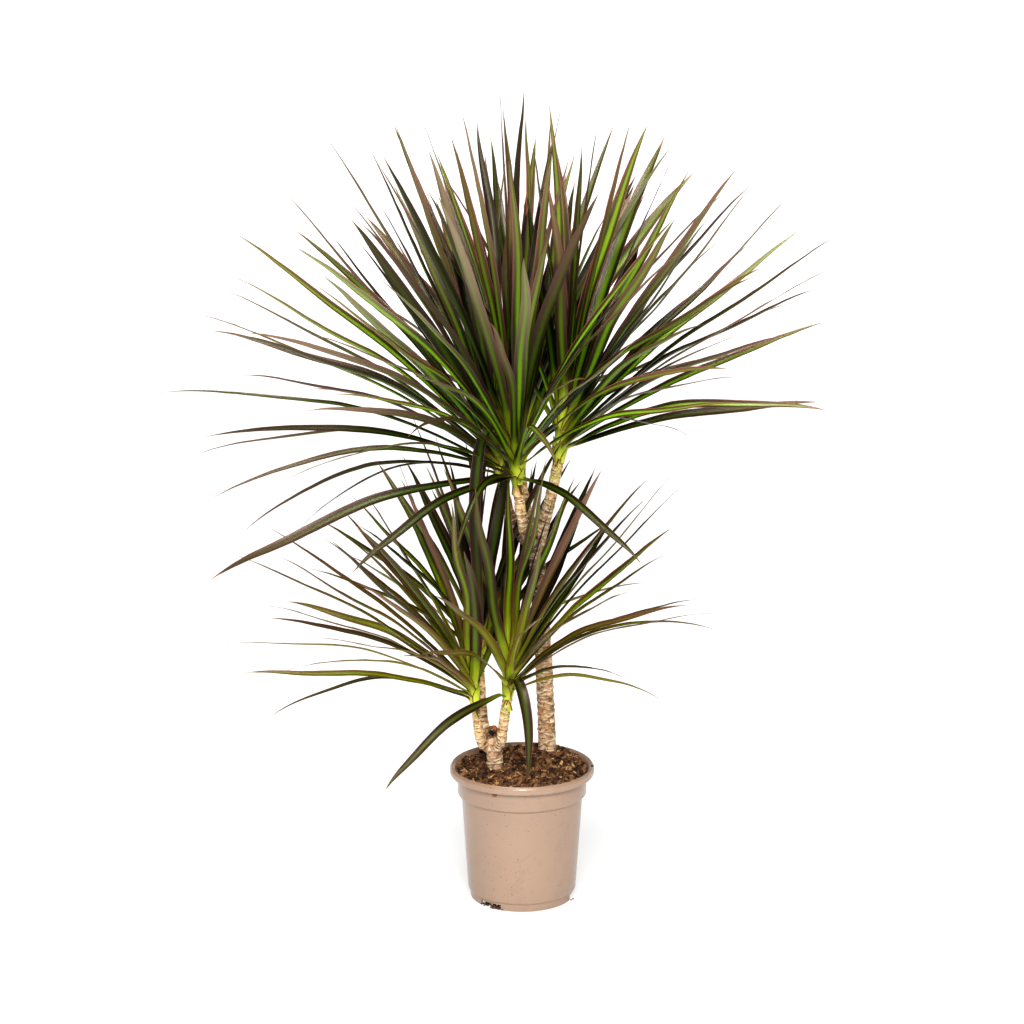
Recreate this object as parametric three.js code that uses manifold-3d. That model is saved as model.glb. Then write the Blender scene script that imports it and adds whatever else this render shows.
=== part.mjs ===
// A potted dracaena marginata: a plastic pot on a notched foot ring, filled with peat, a tall
// cane that branches into four heads of long narrow leaves, and a short cane that branches into
// three. Millimetres, +Z up. Everything is laid out about the pot's axis, with the floor at
// z = 0, and the whole is then moved so that the middle of its box stands on the origin.
import * as THREE from 'three';
import { mergeVertices } from 'three/addons/utils/BufferGeometryUtils.js';
import Module from 'manifold-3d';

const wasm = await Module();
wasm.setup();

// ---------------------------------------------------------------- driving dimensions, mm

const POT_AXIS = new THREE.Vector3(32, -27, 0);
const FIT_GAP = 0.3;
const SHORTEST_EDGE = 0.005;

const POT = {
  height: 162, lipRadius: 85, lipWidth: 5.5, lipHeight: 10,
  bandRadius: 76, bandHeight: 24,
  bodyTopRadius: 71.5, bodyBottomRadius: 63.8,
  footRadius: 60.9, footHeight: 10, footWall: 2.4,
  wall: 1.8, floor: 2.2, rounding: 1.6, sides: 38,
};
const NOTCH = { count: 3, firstTurn: -128, width: 29, height: 6.5, depth: 20 };
const DRAIN = { count: 6, firstTurn: 30, radius: 5.5, fromAxis: 40, depth: 10, sides: 10 };

const SOIL = { level: 157, lump: 1.69, lowest: 152.9, highest: 177, rings: 4, holeSides: 18 };
const HEAP = { x: 34, y: 54, height: 6.5, spread: 34 };

// Canes and branches run through these points, with the radius at each end.
const TALL_CANE = {
  points: [[30, 48, 118], [30, 48, 165], [26, 46, 270], [20, 41, 360], [17, 38, 420]],
  radii: [10.6, 9.6], scarStep: 22, scarDepth: 0.7, sides: 9,
};
const TALL_STUB = { points: [[17, 38, 412], [13, 33, 436]], radii: [7.5, 6], sides: 8 };
const SHORT_CANE = {
  points: [[-32, 2, 112], [-32, 2, 160], [-33, 1, 190]],
  radii: [9.4, 9.6], scarStep: 20, scarDepth: 0.6, sides: 9,
};
const SHORT_STUB = { points: [[-33, 1, 182], [-36, 2, 207]], radii: [8.6, 7], sides: 8 };
const BRANCH = { scarStep: 18, scarDepth: 0.4, sides: 7 };
// A leaf scar's half-width as a share of the step between scars, and the dip that follows it.
const SCAR = { halfWidth: 0.12, dip: 0.4 };

// The leafy stem of a head, and where on it leaves of each lift are rooted, as shares of height.
const STEM = { shares: [0, 0.25, 0.6, 1], sides: 8, rootOfLevel: 0.12, rootPerDegree: 1 / 105 };
const ROOTS = { lowest: 0.08, highest: 0.95 };

// Leaf blade: widths are a share of the leaf's own width, at shares of its length. The rib's
// depth is given at the root and at the tip, and the roll and sway are the most that chance gives.
const BLADE = {
  stations: [0, 0.13, 0.38, 0.66, 0.87, 1], rib: [1.82, 0.98],
  widestAt: 0.4, baseShare: 0.42, taper: 1.7, sunk: 2, roll: 60, sway: 0.045,
};
// Leaves placed by rule: the youngest one's lift, how lift and arch change with age, and how far
// chance moves each value.
const RULE = {
  youngestLift: 86, liftCurve: 1.15, turnChance: 10, liftChance: 7, widthChance: 0.28,
  length: 0.93, longestAge: 0.4, lengthLoss: 0.14, lengthChance: 0.16,
  arch: 0.012, archWithAge: 0.075, archChance: 0.03,
};
// Clearing: how a blade is measured against its neighbours, and how far it may turn aside.
const CLEAR = {
  stations: [0, 0.15, 0.3, 0.45, 0.6, 0.75, 0.9, 1], sameHeadFrom: 0.3,
  gap: 0.6, chosenTurns: [0, 3, -3, 6, -6, 10, -10, 14, -14, 19, -19],
  ruleTurns: [0, 8, -8, 16, -16, 25, -25, 35, -35],
};
const GOLDEN_TURN = 137.508;

// Each head: where its leafy stem starts, the branch that carries it, and its leaves. A chosen
// leaf is [turn from +X, lift of its chord, length, arch above the chord, width], in degrees
// and mm. A folded leaf is given by four control points and a width. The rest follow a rule.
const HEADS = [
  {
    name: 'leaves_front', base: [-6, -10, 506], lean: [-0.06, -0.04], height: 56, radius: 6.4,
    branch: [[17, 36, 418], [9, 14, 430], [1, -4, 455]], branchRadius: [7.2, 5.9],
    facing: -92, spread: 72, rule: 28, length: 385, width: 13.5, lowest: 18, seed: 11,
    chosen: [
      [-87, 45, 395, 18, 16, 0], [-62, 35, 345, 12, 13, 25], [-37, 21, 325, 28, 10],
      [-60, -8, 228, 18, 17, 35], [240, -19, 150, 34, 13, -20], [196, -15, 365, 32, 14, -40],
      [199, 1, 353, 44, 9], [212, 6, 292, 40, 9], [231, 24, 340, 25, 10],
      [242, 22, 344, 28, 10], [150, 87, 392, 4, 9], [200, 81, 384, 5, 10],
      [214, -20, 230, 24, 13, -35],
    ],
    folded: [
      { points: [[-9, -13, 548], [-62, -40, 630], [-56, -56, 500], [-44, -64, 325]], width: 17 },
    ],
  },
  {
    name: 'leaves_right', base: [42, 28, 522], lean: [0.1, -0.02], height: 54, radius: 6.6,
    branch: [[18, 38, 414], [24, 36, 440], [34, 32, 482]], branchRadius: [7.6, 6.2],
    facing: 8, spread: 78, rule: 24, length: 365, width: 13, lowest: 12, seed: 23,
    chosen: [
      [-8, 13, 300, 14, 13, 35], [2, 25.5, 330, 12, 12, 30], [-2, 38, 392, 10, 10],
      [4, 47, 380, 8, 11], [-5, 58, 360, 6, 15, -50], [10, 52, 362, 8, 9],
      [9, 41, 366, 10, 10], [-7, 35, 361, 12, 9], [41, 19, 300, 18, 10],
      [33, 38, 332, 10, 10], [-56, 15, 251, 30, 8], [25, 62, 330, 6, 10],
      [-10, 69, 328, 5, 9], [5, 78, 352, 4, 12], [0, 84, 340, 4, 10],
      [-20, 45, 88, 18, 11], [-40, 53, 312, 8, 12],
    ],
    folded: [],
  },
  {
    name: 'leaves_left', base: [-24, 40, 498], lean: [-0.1, 0.02], height: 56, radius: 6.2,
    branch: [[16, 38, 414], [2, 41, 426], [-14, 42, 455]], branchRadius: [7.2, 5.8],
    facing: 172, spread: 74, rule: 27, length: 375, width: 12.5, lowest: 6, seed: 37,
    chosen: [
      [180, 13, 402, 32, 9], [176, 26, 385, 22, 9], [183, 33, 372, 18, 9],
      [178, 41, 393, 12, 11], [184, 52, 382, 8, 10], [177, 62, 397, 8, 11],
      [172, 67, 374, 6, 10], [186, 73, 386, 6, 11], [162, 15, 332, 30, 9],
      [184, 4, 350, 42, 9], [187, -11, 302, 45, 8], [176, -18, 252, 45, 8],
      [143, 43, 342, 10, 10],
    ],
    folded: [],
  },
  {
    name: 'leaves_back', base: [-2, 80, 500], lean: [0, 0.08], height: 56, radius: 6.2,
    branch: [[17, 40, 414], [12, 60, 430], [4, 74, 458]], branchRadius: [7.2, 5.8],
    facing: 88, spread: 86, rule: 32, length: 385, width: 13, lowest: 6, seed: 53,
    chosen: [
      [100, 87, 392, 4, 11], [80, 77, 370, 4, 10], [70, 73, 374, 6, 9],
      [63, 67, 341, 6, 10], [122, 66, 348, 6, 10], [125, 60, 363, 8, 10],
      [158, 66, 392, 6, 10], [150, 70, 385, 6, 9], [105, 81, 374, 4, 10],
    ],
    folded: [],
  },
  {
    name: 'leaves_low_left', base: [-55, -12, 240], lean: [-0.05, -0.02], height: 42, radius: 5.2,
    branch: [[-34, 1, 178], [-47, -7, 190], [-52, -10, 214]], branchRadius: [6, 4.9],
    facing: 196, spread: 64, rule: 15, length: 285, width: 12, lowest: 14, seed: 71,
    chosen: [
      [189, 9, 266, 16, 14, -30], [178, -6, 243, 40, 7], [183, 13, 299, 28, 8],
      [206, 15, 239, 26, 8], [173, 22, 258, 20, 9], [180, 31, 317, 14, 10],
      [196, 38, 280, 12, 11], [176, 39, 297, 10, 9], [186, 55, 258, 8, 10],
      [207, 48, 261, 8, 11], [168, 60, 242, 6, 10], [218, 26, 234, 20, 9],
      [180, 72, 269, 4, 10],
    ],
    folded: [],
  },
  {
    name: 'leaves_low_right', base: [-17, -18, 250], lean: [0.06, -0.04], height: 44, radius: 5.8,
    branch: [[-32, 0, 178], [-25, -8, 192], [-22, -13, 215]], branchRadius: [6.4, 5.4],
    facing: -38, spread: 76, rule: 18, length: 275, width: 12, lowest: 14, seed: 89,
    chosen: [
      [-3, 53, 298, 6, 8], [4, 49, 292, 8, 8], [-19, 46, 268, 8, 14, 40],
      [2, 25, 237, 22, 9], [-10, 23, 251, 24, 8], [5, 13, 254, 42, 8],
      [-23, 5, 184, 22, 9], [-8, 67, 263, 4, 14, -60], [-44, 55, 252, 6, 11],
      [-15, 72, 224, 4, 9], [213, -28, 184, 18, 15, -45],
    ],
    folded: [
      { points: [[-15, -21, 256], [-7, -50, 318], [14, -66, 240], [4, -74, 165]], width: 14 },
    ],
  },
  {
    name: 'leaves_low_back', base: [-49, 28, 272], lean: [0.02, 0.06], height: 42, radius: 5,
    branch: [[-33, 3, 180], [-42, 15, 194], [-47, 24, 232]], branchRadius: [5.6, 4.6],
    facing: 105, spread: 80, rule: 20, length: 265, width: 11.5, lowest: 14, seed: 97,
    chosen: [[166, 73, 277, 4, 10], [135, 70, 246, 4, 10], [158, 46, 234, 10, 9]],
    folded: [],
  },
];

const MATERIALS = {
  pot: new THREE.MeshStandardMaterial({ color: 0xcda890, roughness: 0.42, metalness: 0 }),
  soil: new THREE.MeshStandardMaterial({ color: 0x4a2f1e, roughness: 0.95, metalness: 0 }),
  bark: new THREE.MeshStandardMaterial({ color: 0xb59a78, roughness: 0.8, metalness: 0 }),
  leaf: new THREE.MeshStandardMaterial({ color: 0x3f5a1c, roughness: 0.35, metalness: 0 }),
};

// ---------------------------------------------------------------- small helpers

const radians = THREE.MathUtils.degToRad;
const mix = THREE.MathUtils.lerp;
const clamp = THREE.MathUtils.clamp;
const vector = (list) => new THREE.Vector3(...list);

/** A repeatable draw between 0 and 1, for one seed and one use. */
function draw(seed, use) {
  const wave = Math.sin(seed * 12.9898 + use * 78.233) * 43758.5453;
  return wave - Math.floor(wave);
}

/** The point at t on the Bezier curve of any number of control points. */
function bezier(points, t) {
  let row = points;
  while (row.length > 1) row = row.slice(1).map((p, i) => row[i].clone().lerp(p, t));
  return row[0];
}

// ---------------------------------------------------------------- solids

function toSolid(geometry) {
  const bare = geometry.clone();
  bare.deleteAttribute('normal');
  bare.deleteAttribute('uv');
  const merged = mergeVertices(bare, 1e-4);
  return new wasm.Manifold(new wasm.Mesh({
    numProp: 3,
    vertProperties: Float32Array.from(merged.attributes.position.array),
    triVerts: Uint32Array.from(merged.index.array),
  }));
}

/** A solid's faces, with the corners that its joins left all but touching made one corner. */
function toGeometry(solid) {
  const { vertProperties, triVerts } = solid.getMesh();
  const corners = [];
  const cornerOf = Array.from({ length: vertProperties.length / 3 }, (_, i) => {
    const point = new THREE.Vector3().fromArray(vertProperties, 3 * i);
    const twin = corners.findIndex((other) => other.distanceTo(point) < SHORTEST_EDGE);
    return twin < 0 ? corners.push(point) - 1 : twin;
  });
  const index = [];
  for (let i = 0; i < triVerts.length; i += 3) {
    const face = [0, 1, 2].map((k) => cornerOf[triVerts[i + k]]);
    if (new Set(face).size === 3) index.push(...face);
  }
  const geometry = new THREE.BufferGeometry();
  geometry.setAttribute('position', new THREE.Float32BufferAttribute(
    corners.flatMap((p) => p.toArray()), 3));
  geometry.setIndex(index);
  geometry.computeVertexNormals();
  return geometry;
}

const join = (solids) => solids.reduce((whole, next) => whole.add(next));

/** Six times the volume of the tetrahedron of four points. */
const sixfold = (a, b, c, d) => b.clone().sub(a).cross(c.clone().sub(a)).dot(d.clone().sub(a));

/** Two triangles over the corners a, b and c, d of two rings, folded so that they bulge outwards. */
function splitQuad(points, [a, b, c, d], outward) {
  if (a === b) return [[b, d, c]];
  if (c === d) return [[a, b, c]];
  const hollow = outward * sixfold(points[a], points[b], points[c], points[d]) > 1e-6;
  return hollow ? [[a, b, d], [a, d, c]] : [[a, b, c], [b, d, c]];
}

/** A closed body through rings of points; a ring of one point closes an end in a tip. */
function loft(rings) {
  const points = rings.flat();
  const starts = rings.map((_, i) => rings.slice(0, i).reduce((sum, ring) => sum + ring.length, 0));
  const quads = [];
  for (let i = 0; i + 1 < rings.length; i++) {
    const sides = Math.max(rings[i].length, rings[i + 1].length);
    for (let k = 0; k < sides; k++) {
      const corners = [i, i + 1].flatMap((ring) =>
        [k, (k + 1) % sides].map((n) => starts[ring] + (rings[ring].length > 1 ? n : 0)));
      quads.push(corners);
    }
  }
  const caps = [];
  const cap = (start, size, turned) => {
    for (let k = 1; k + 1 < size; k++) {
      caps.push(turned ? [start, start + k + 1, start + k] : [start, start + k, start + k + 1]);
    }
  };
  cap(starts[0], rings[0].length, true);
  cap(starts.at(-1), rings.at(-1).length, false);
  const facesOf = (outward) => [...quads.flatMap((q) => splitQuad(points, q, outward)), ...caps];
  const origin = new THREE.Vector3();
  const volume = facesOf(1).reduce((sum, [a, b, c]) =>
    sum + sixfold(origin, points[a], points[b], points[c]), 0);
  const faces = facesOf(Math.sign(volume));
  if (volume < 0) faces.forEach((face) => face.reverse());
  const geometry = new THREE.BufferGeometry();
  geometry.setAttribute('position', new THREE.Float32BufferAttribute(
    points.flatMap((p) => p.toArray()), 3));
  geometry.setIndex(faces.flat());
  return toSolid(geometry);
}

/** A ring of points round a centre, square to a direction. */
function ringAround(centre, direction, radius, sides) {
  const across = new THREE.Vector3(1, 0, 0).cross(direction).normalize();
  const over = direction.clone().cross(across).normalize();
  return Array.from({ length: sides }, (_, k) => {
    const angle = (2 * Math.PI * k) / sides;
    return centre.clone()
      .addScaledVector(across, radius * Math.cos(angle))
      .addScaledVector(over, radius * Math.sin(angle));
  });
}

/** A cane: a round stem that swells a little at each leaf scar, cut square to its end. */
function cane({ points, radii, scarStep, scarDepth = 0, sides, endDirection }) {
  const curve = new THREE.CatmullRomCurve3(points.map(vector));
  const scars = scarStep ? Math.max(2, Math.round(curve.getLength() / scarStep)) : 1;
  const spots = [[0, 0]];
  for (let i = 1; i < scars; i++) {
    spots.push([(i - SCAR.halfWidth) / scars, 1], [(i + SCAR.halfWidth) / scars, -SCAR.dip]);
  }
  spots.push([1, 0]);
  return loft(spots.map(([t, swell]) => {
    const radius = mix(radii[0], radii[1], t) + swell * scarDepth;
    const direction = t === 1 && endDirection ? endDirection : curve.getTangentAt(t);
    return ringAround(curve.getPointAt(t), direction, radius, sides);
  }));
}

// ---------------------------------------------------------------- pot and soil

const floorTop = POT.footHeight + POT.floor;
const bandTop = POT.height - POT.lipHeight;
const bandFoot = bandTop - POT.bandHeight;
const lipInner = POT.lipRadius - POT.lipWidth;

/** Radius of the pot's inner wall at a height. */
function innerRadius(z) {
  if (z > bandTop) return mix(POT.bandRadius - POT.wall, lipInner, (z - bandTop) / POT.lipHeight);
  if (z > bandFoot) return POT.bandRadius - POT.wall;
  const share = (z - floorTop) / (bandFoot - floorTop);
  return mix(POT.bodyBottomRadius, POT.bodyTopRadius, share) - POT.wall;
}

/** The pot's section: up the outside from the middle of its floor, and down the inside. */
function potProfile() {
  const round = POT.rounding;
  return [
    [0, POT.footHeight],
    [POT.footRadius - POT.footWall, POT.footHeight],
    [POT.footRadius - POT.footWall, 0],
    [POT.footRadius, 0],
    [POT.footRadius, POT.footHeight - round / 2],
    [POT.bodyBottomRadius - round / 2, POT.footHeight],
    [POT.bodyBottomRadius, POT.footHeight + round],
    [POT.bodyTopRadius, bandFoot - round],
    [POT.bandRadius, bandFoot + round / 2],
    [POT.bandRadius, bandTop],
    [POT.lipRadius - round / 2, bandTop],
    [POT.lipRadius, bandTop + round],
    [POT.lipRadius, POT.height - 2 * round],
    [POT.lipRadius - round, POT.height - round / 2],
    [POT.lipRadius - POT.lipWidth / 2, POT.height],
    [lipInner, POT.height - round],
    [innerRadius(bandTop), bandTop],
    [innerRadius(bandTop), bandFoot + round / 2],
    [innerRadius(bandFoot), bandFoot - round],
    [innerRadius(floorTop), floorTop],
    [0, floorTop],
  ].map(([radius, z]) => new THREE.Vector2(radius, z));
}

function makePot() {
  const lathe = new THREE.LatheGeometry(potProfile(), POT.sides).rotateX(Math.PI / 2);
  let pot = toSolid(lathe);
  for (let i = 0; i < NOTCH.count; i++) {
    const turn = radians(NOTCH.firstTurn + (360 / NOTCH.count) * i);
    const cutter = new THREE.BoxGeometry(NOTCH.depth, NOTCH.width, 2 * NOTCH.height)
      .translate(POT.footRadius, 0, 0).rotateZ(turn);
    pot = pot.subtract(toSolid(cutter));
  }
  for (let i = 0; i < DRAIN.count; i++) {
    const turn = radians(DRAIN.firstTurn + (360 / DRAIN.count) * i);
    const cutter = new THREE.CylinderGeometry(DRAIN.radius, DRAIN.radius, DRAIN.depth, DRAIN.sides)
      .rotateX(Math.PI / 2)
      .translate(DRAIN.fromAxis * Math.cos(turn), DRAIN.fromAxis * Math.sin(turn), POT.footHeight);
    pot = pot.subtract(toSolid(cutter));
  }
  return pot;
}

/** Height of the peat's uneven surface, heaped up round the tall cane. */
function soilHeight(x, y) {
  const lumps = Math.sin(x * 0.145 + 1.3) * Math.cos(y * 0.117 - 0.6)
    + 0.55 * Math.sin(x * 0.31 - y * 0.26 + 2.1);
  const heap = Math.exp(-((x - HEAP.x) ** 2 + (y - HEAP.y) ** 2) / HEAP.spread ** 2);
  return SOIL.level + SOIL.lump * lumps + HEAP.height * heap;
}

function makeSoil() {
  const circle = (radius, height) => Array.from({ length: POT.sides }, (_, k) => {
    const angle = (2 * Math.PI * k) / POT.sides;
    const [x, y] = [radius * Math.sin(angle), radius * Math.cos(angle)];
    return new THREE.Vector3(x, y, height ?? soilHeight(x, y));
  });
  const bottom = floorTop + FIT_GAP;
  const edge = innerRadius(SOIL.lowest) - FIT_GAP;
  const rings = [
    [new THREE.Vector3(0, 0, bottom)],
    circle(innerRadius(bottom) - FIT_GAP, bottom),
    circle(innerRadius(bandFoot) - FIT_GAP, bandFoot - POT.rounding),
    circle(innerRadius(bandTop) - FIT_GAP, bandFoot + POT.rounding),
    circle(innerRadius(bandTop) - FIT_GAP, bandTop),
  ];
  for (let i = 0; i <= SOIL.rings; i++) rings.push(circle(edge * (1 - i / (SOIL.rings + 1))));
  rings.push([new THREE.Vector3(0, 0, soilHeight(0, 0))]);
  let soil = loft(rings);
  for (const stem of [TALL_CANE, SHORT_CANE]) {
    const [x, y, foot] = stem.points[0];
    const radius = stem.radii[0] + stem.scarDepth + FIT_GAP;
    const depth = SOIL.highest - foot;
    const hole = new THREE.CylinderGeometry(radius, radius, depth, SOIL.holeSides)
      .rotateX(Math.PI / 2).translate(x, y, foot - FIT_GAP + depth / 2);
    soil = soil.subtract(toSolid(hole));
  }
  return soil;
}

// ---------------------------------------------------------------- leaves

/** The spine of a leaf that is given by its turn, lift, length, arch and width. */
function leafFrom(root, [turn, lift, length, arch, width]) {
  const [a, e] = [radians(turn), radians(lift)];
  const chord = new THREE.Vector3(Math.cos(e) * Math.cos(a), Math.cos(e) * Math.sin(a), Math.sin(e));
  const upward = new THREE.Vector3(-Math.sin(e) * Math.cos(a), -Math.sin(e) * Math.sin(a), Math.cos(e));
  const middle = root.clone().addScaledVector(chord, length / 2).addScaledVector(upward, 2 * arch);
  return { points: [root, middle, root.clone().addScaledVector(chord, length)], turn, width };
}

/** The level direction at right angles to a turn from +X. */
const levelAcross = (turn) => new THREE.Vector3(-Math.sin(radians(turn)), Math.cos(radians(turn)), 0);

/** The direction across the blade at t: nearly level at the root, and fully rolled by its middle. */
function acrossAt(leaf, t, along) {
  const share = Math.min(1, 0.3 + 1.4 * t);
  return levelAcross(leaf.turn).applyAxisAngle(along, radians(leaf.roll) * share);
}

/** The leafy stem's radius along its height: full at the sheaths, slender at the growing tip. */
const stemSwell = (share) => 0.95 + 0.9 * share * (1 - share) - 0.5 * share * share;

/** A blade's width at t: it widens from its base to its widest place and then runs to a point. */
function widthAt(leaf, t) {
  const { widestAt, baseShare, taper } = BLADE;
  const share = t < widestAt
    ? mix(baseShare, 1, THREE.MathUtils.smoothstep(t / widestAt, 0, 1))
    : 1 - ((t - widestAt) / (1 - widestAt)) ** taper;
  return leaf.width * share;
}

const stemDirection = (head) => new THREE.Vector3(head.lean[0], head.lean[1], 1).normalize();

/** Where on a head's stem a leaf is rooted: low for a low leaf, high for an upright one. */
function rootOn(head, turn, lift) {
  const share = clamp(STEM.rootOfLevel + lift * STEM.rootPerDegree, ROOTS.lowest, ROOTS.highest);
  const out = head.radius * stemSwell(share) - BLADE.sunk;
  return vector(head.base)
    .addScaledVector(stemDirection(head), head.height * share)
    .add(new THREE.Vector3(Math.cos(radians(turn)), Math.sin(radians(turn)), 0).multiplyScalar(out));
}

/** The rule for the leaves between the chosen ones, from the youngest, upright, to the oldest. */
function ruleLeaf(head, i) {
  const age = (i + 0.5) / head.rule;
  const chance = (use) => draw(head.seed + i, use) - 0.5;
  const around = ((i * GOLDEN_TURN + head.seed * 40) % 360) - 180;
  const fan = mix(1, head.spread / 180, Math.sqrt(age));
  const turn = head.facing + around * fan + RULE.turnChance * chance(1);
  const lift = mix(RULE.youngestLift, head.lowest, age ** RULE.liftCurve)
    + RULE.liftChance * chance(2);
  const length = head.length * (RULE.length
    - RULE.lengthLoss * (age - RULE.longestAge) ** 2 + RULE.lengthChance * chance(3));
  const arch = length * (RULE.arch
    + RULE.archWithAge * age * age + RULE.archChance * (chance(4) + 0.5));
  return [turn, lift, length, arch, head.width * (0.9 + RULE.widthChance * chance(5))];
}

/** Distance between the segments pq and rs, less their half-widths where they come closest. */
function segmentGap(one, two) {
  const u = one.q.clone().sub(one.p);
  const v = two.q.clone().sub(two.p);
  const w = one.p.clone().sub(two.p);
  const [a, b, c, d, e] = [u.dot(u), u.dot(v), v.dot(v), u.dot(w), v.dot(w)];
  const spread = a * c - b * b;
  let m = spread > 1e-6 ? clamp((b * e - c * d) / spread, 0, 1) : 0;
  const n = clamp((b * m + e) / c, 0, 1);
  m = clamp((b * n - d) / a, 0, 1);
  return w.addScaledVector(u, m).addScaledVector(v, -n).length()
    - mix(one.pHalf, one.qHalf, m) - mix(two.pHalf, two.qHalf, n);
}

function segmentsOf(leaf, head) {
  const spots = CLEAR.stations.map((t) => ({ p: bezier(leaf.points, t), half: widthAt(leaf, t) / 2 }));
  return spots.slice(1).map((end, i) => ({
    p: spots[i].p, q: end.p, pHalf: spots[i].half, qHalf: end.half,
    head: head.name, free: CLEAR.stations[i] >= CLEAR.sameHeadFrom,
  }));
}

function isClear(segments, placed) {
  return segments.every((one) => placed.every((two) => {
    if (one.head === two.head && !(one.free && two.free)) return true;
    return segmentGap(one, two) > CLEAR.gap;
  }));
}

/** The canes and the leafy stems as plain segments that leaves keep clear of. */
function stemSegments() {
  const stems = [TALL_CANE, TALL_STUB, SHORT_CANE, SHORT_STUB];
  const chain = (points, radii, head) => points.slice(1).map((end, i) => ({
    p: vector(points[i]), q: vector(end), pHalf: radii[0], qHalf: radii[1], head, free: false,
  }));
  const carried = HEADS.flatMap((head) => {
    const top = vector(head.base).addScaledVector(stemDirection(head), head.height).toArray();
    return [
      ...chain([...head.branch, head.base], head.branchRadius, head.name),
      ...chain([head.base, top], [head.radius, head.radius], head.name),
    ];
  });
  return [...stems.flatMap((stem) => chain(stem.points, stem.radii)), ...carried];
}

/** Places one leaf at the first turn that keeps it clear of what already stands. */
function place(head, values, turns, placed) {
  const [turn, lift, length, arch, width, givenRoll] = values;
  const chance = (use) => 2 * draw(head.seed + head.leaves.length, use) - 1;
  const roll = givenRoll ?? BLADE.roll * chance(9);
  for (const aside of turns) {
    const turned = turn + aside;
    const leaf = leafFrom(rootOn(head, turned, lift), [turned, lift, length, arch, width]);
    leaf.roll = roll;
    leaf.points[1].addScaledVector(levelAcross(turned), BLADE.sway * length * chance(8));
    const segments = segmentsOf(leaf, head);
    if (isClear(segments, placed)) {
      placed.push(...segments);
      head.leaves.push(leaf);
      return;
    }
  }
}

/** The folded leaves stand first, then the chosen ones, and the rule's fill what room is left. */
function placeLeaves() {
  const placed = stemSegments();
  for (const head of HEADS) {
    head.leaves = head.folded.map(({ points, width }) => {
      const [root, , , tip] = points;
      const turn = THREE.MathUtils.radToDeg(Math.atan2(tip[1] - root[1], tip[0] - root[0]));
      return { points: points.map(vector), turn, width, roll: 0 };
    });
    head.leaves.forEach((leaf) => placed.push(...segmentsOf(leaf, head)));
  }
  for (const head of HEADS) {
    head.chosen.forEach((values) => place(head, values, CLEAR.chosenTurns, placed));
  }
  for (const head of HEADS) {
    for (let i = 0; i < head.rule; i++) place(head, ruleLeaf(head, i), CLEAR.ruleTurns, placed);
  }
}

/** One blade: flat above, with a raised rib below, and a fine point. */
function blade(leaf) {
  const step = 0.01;
  const rings = BLADE.stations.map((t) => {
    const centre = bezier(leaf.points, t);
    if (t === 1) return [centre];
    const along = bezier(leaf.points, t + step).sub(centre).normalize();
    const side = acrossAt(leaf, t, along);
    const below = side.clone().cross(along);
    const half = widthAt(leaf, t) / 2;
    return [
      centre.clone().addScaledVector(side, half),
      centre.clone().addScaledVector(side, -half),
      centre.clone().addScaledVector(below, mix(BLADE.rib[0], BLADE.rib[1], t)),
    ];
  });
  return loft(rings);
}

function makeHead(head) {
  const base = vector(head.base);
  const direction = stemDirection(head);
  const rings = STEM.shares.map((share) => {
    const centre = base.clone().addScaledVector(direction, mix(FIT_GAP, head.height, share));
    return ringAround(centre, direction, head.radius * stemSwell(share), STEM.sides);
  });
  return join([loft(rings), ...head.leaves.map(blade)]);
}

// ---------------------------------------------------------------- canes

function makeCane(main, stub, heads) {
  const branches = heads.map((head) => cane({
    points: [...head.branch, head.base], radii: head.branchRadius, ...BRANCH,
    endDirection: stemDirection(head),
  }));
  return join([cane(main), cane(stub), ...branches]);
}

// ---------------------------------------------------------------- the plant

const plant = new THREE.Group();
plant.position.copy(POT_AXIS);

function addPart(name, solid, material) {
  const mesh = new THREE.Mesh(toGeometry(solid), material);
  mesh.name = name;
  plant.add(mesh);
}

placeLeaves();
const upper = HEADS.slice(0, 4);
const lower = HEADS.slice(4);

addPart('pot', makePot(), MATERIALS.pot);
addPart('soil', makeSoil(), MATERIALS.soil);
addPart('tall_cane', makeCane(TALL_CANE, TALL_STUB, upper), MATERIALS.bark);
addPart('short_cane', makeCane(SHORT_CANE, SHORT_STUB, lower), MATERIALS.bark);
for (const head of HEADS) addPart(head.name, makeHead(head), MATERIALS.leaf);

const part = new THREE.Group();
part.add(plant);
export default part;
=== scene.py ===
"""A potted dracaena marginata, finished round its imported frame. Metres, +Z up.

The plan of the plant is in millimetres about the pot's axis, as it was laid out: the pot, the
canes, the heads and the leaves on them. Every piece is made from that plan, and its mesh is
moved to the pot's place in the frame and into metres when it is stored.
"""

import math
from types import SimpleNamespace as Plan

import bpy
import numpy as np
from bpy.props import FloatProperty, IntProperty, PointerProperty
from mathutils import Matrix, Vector, noise


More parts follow.
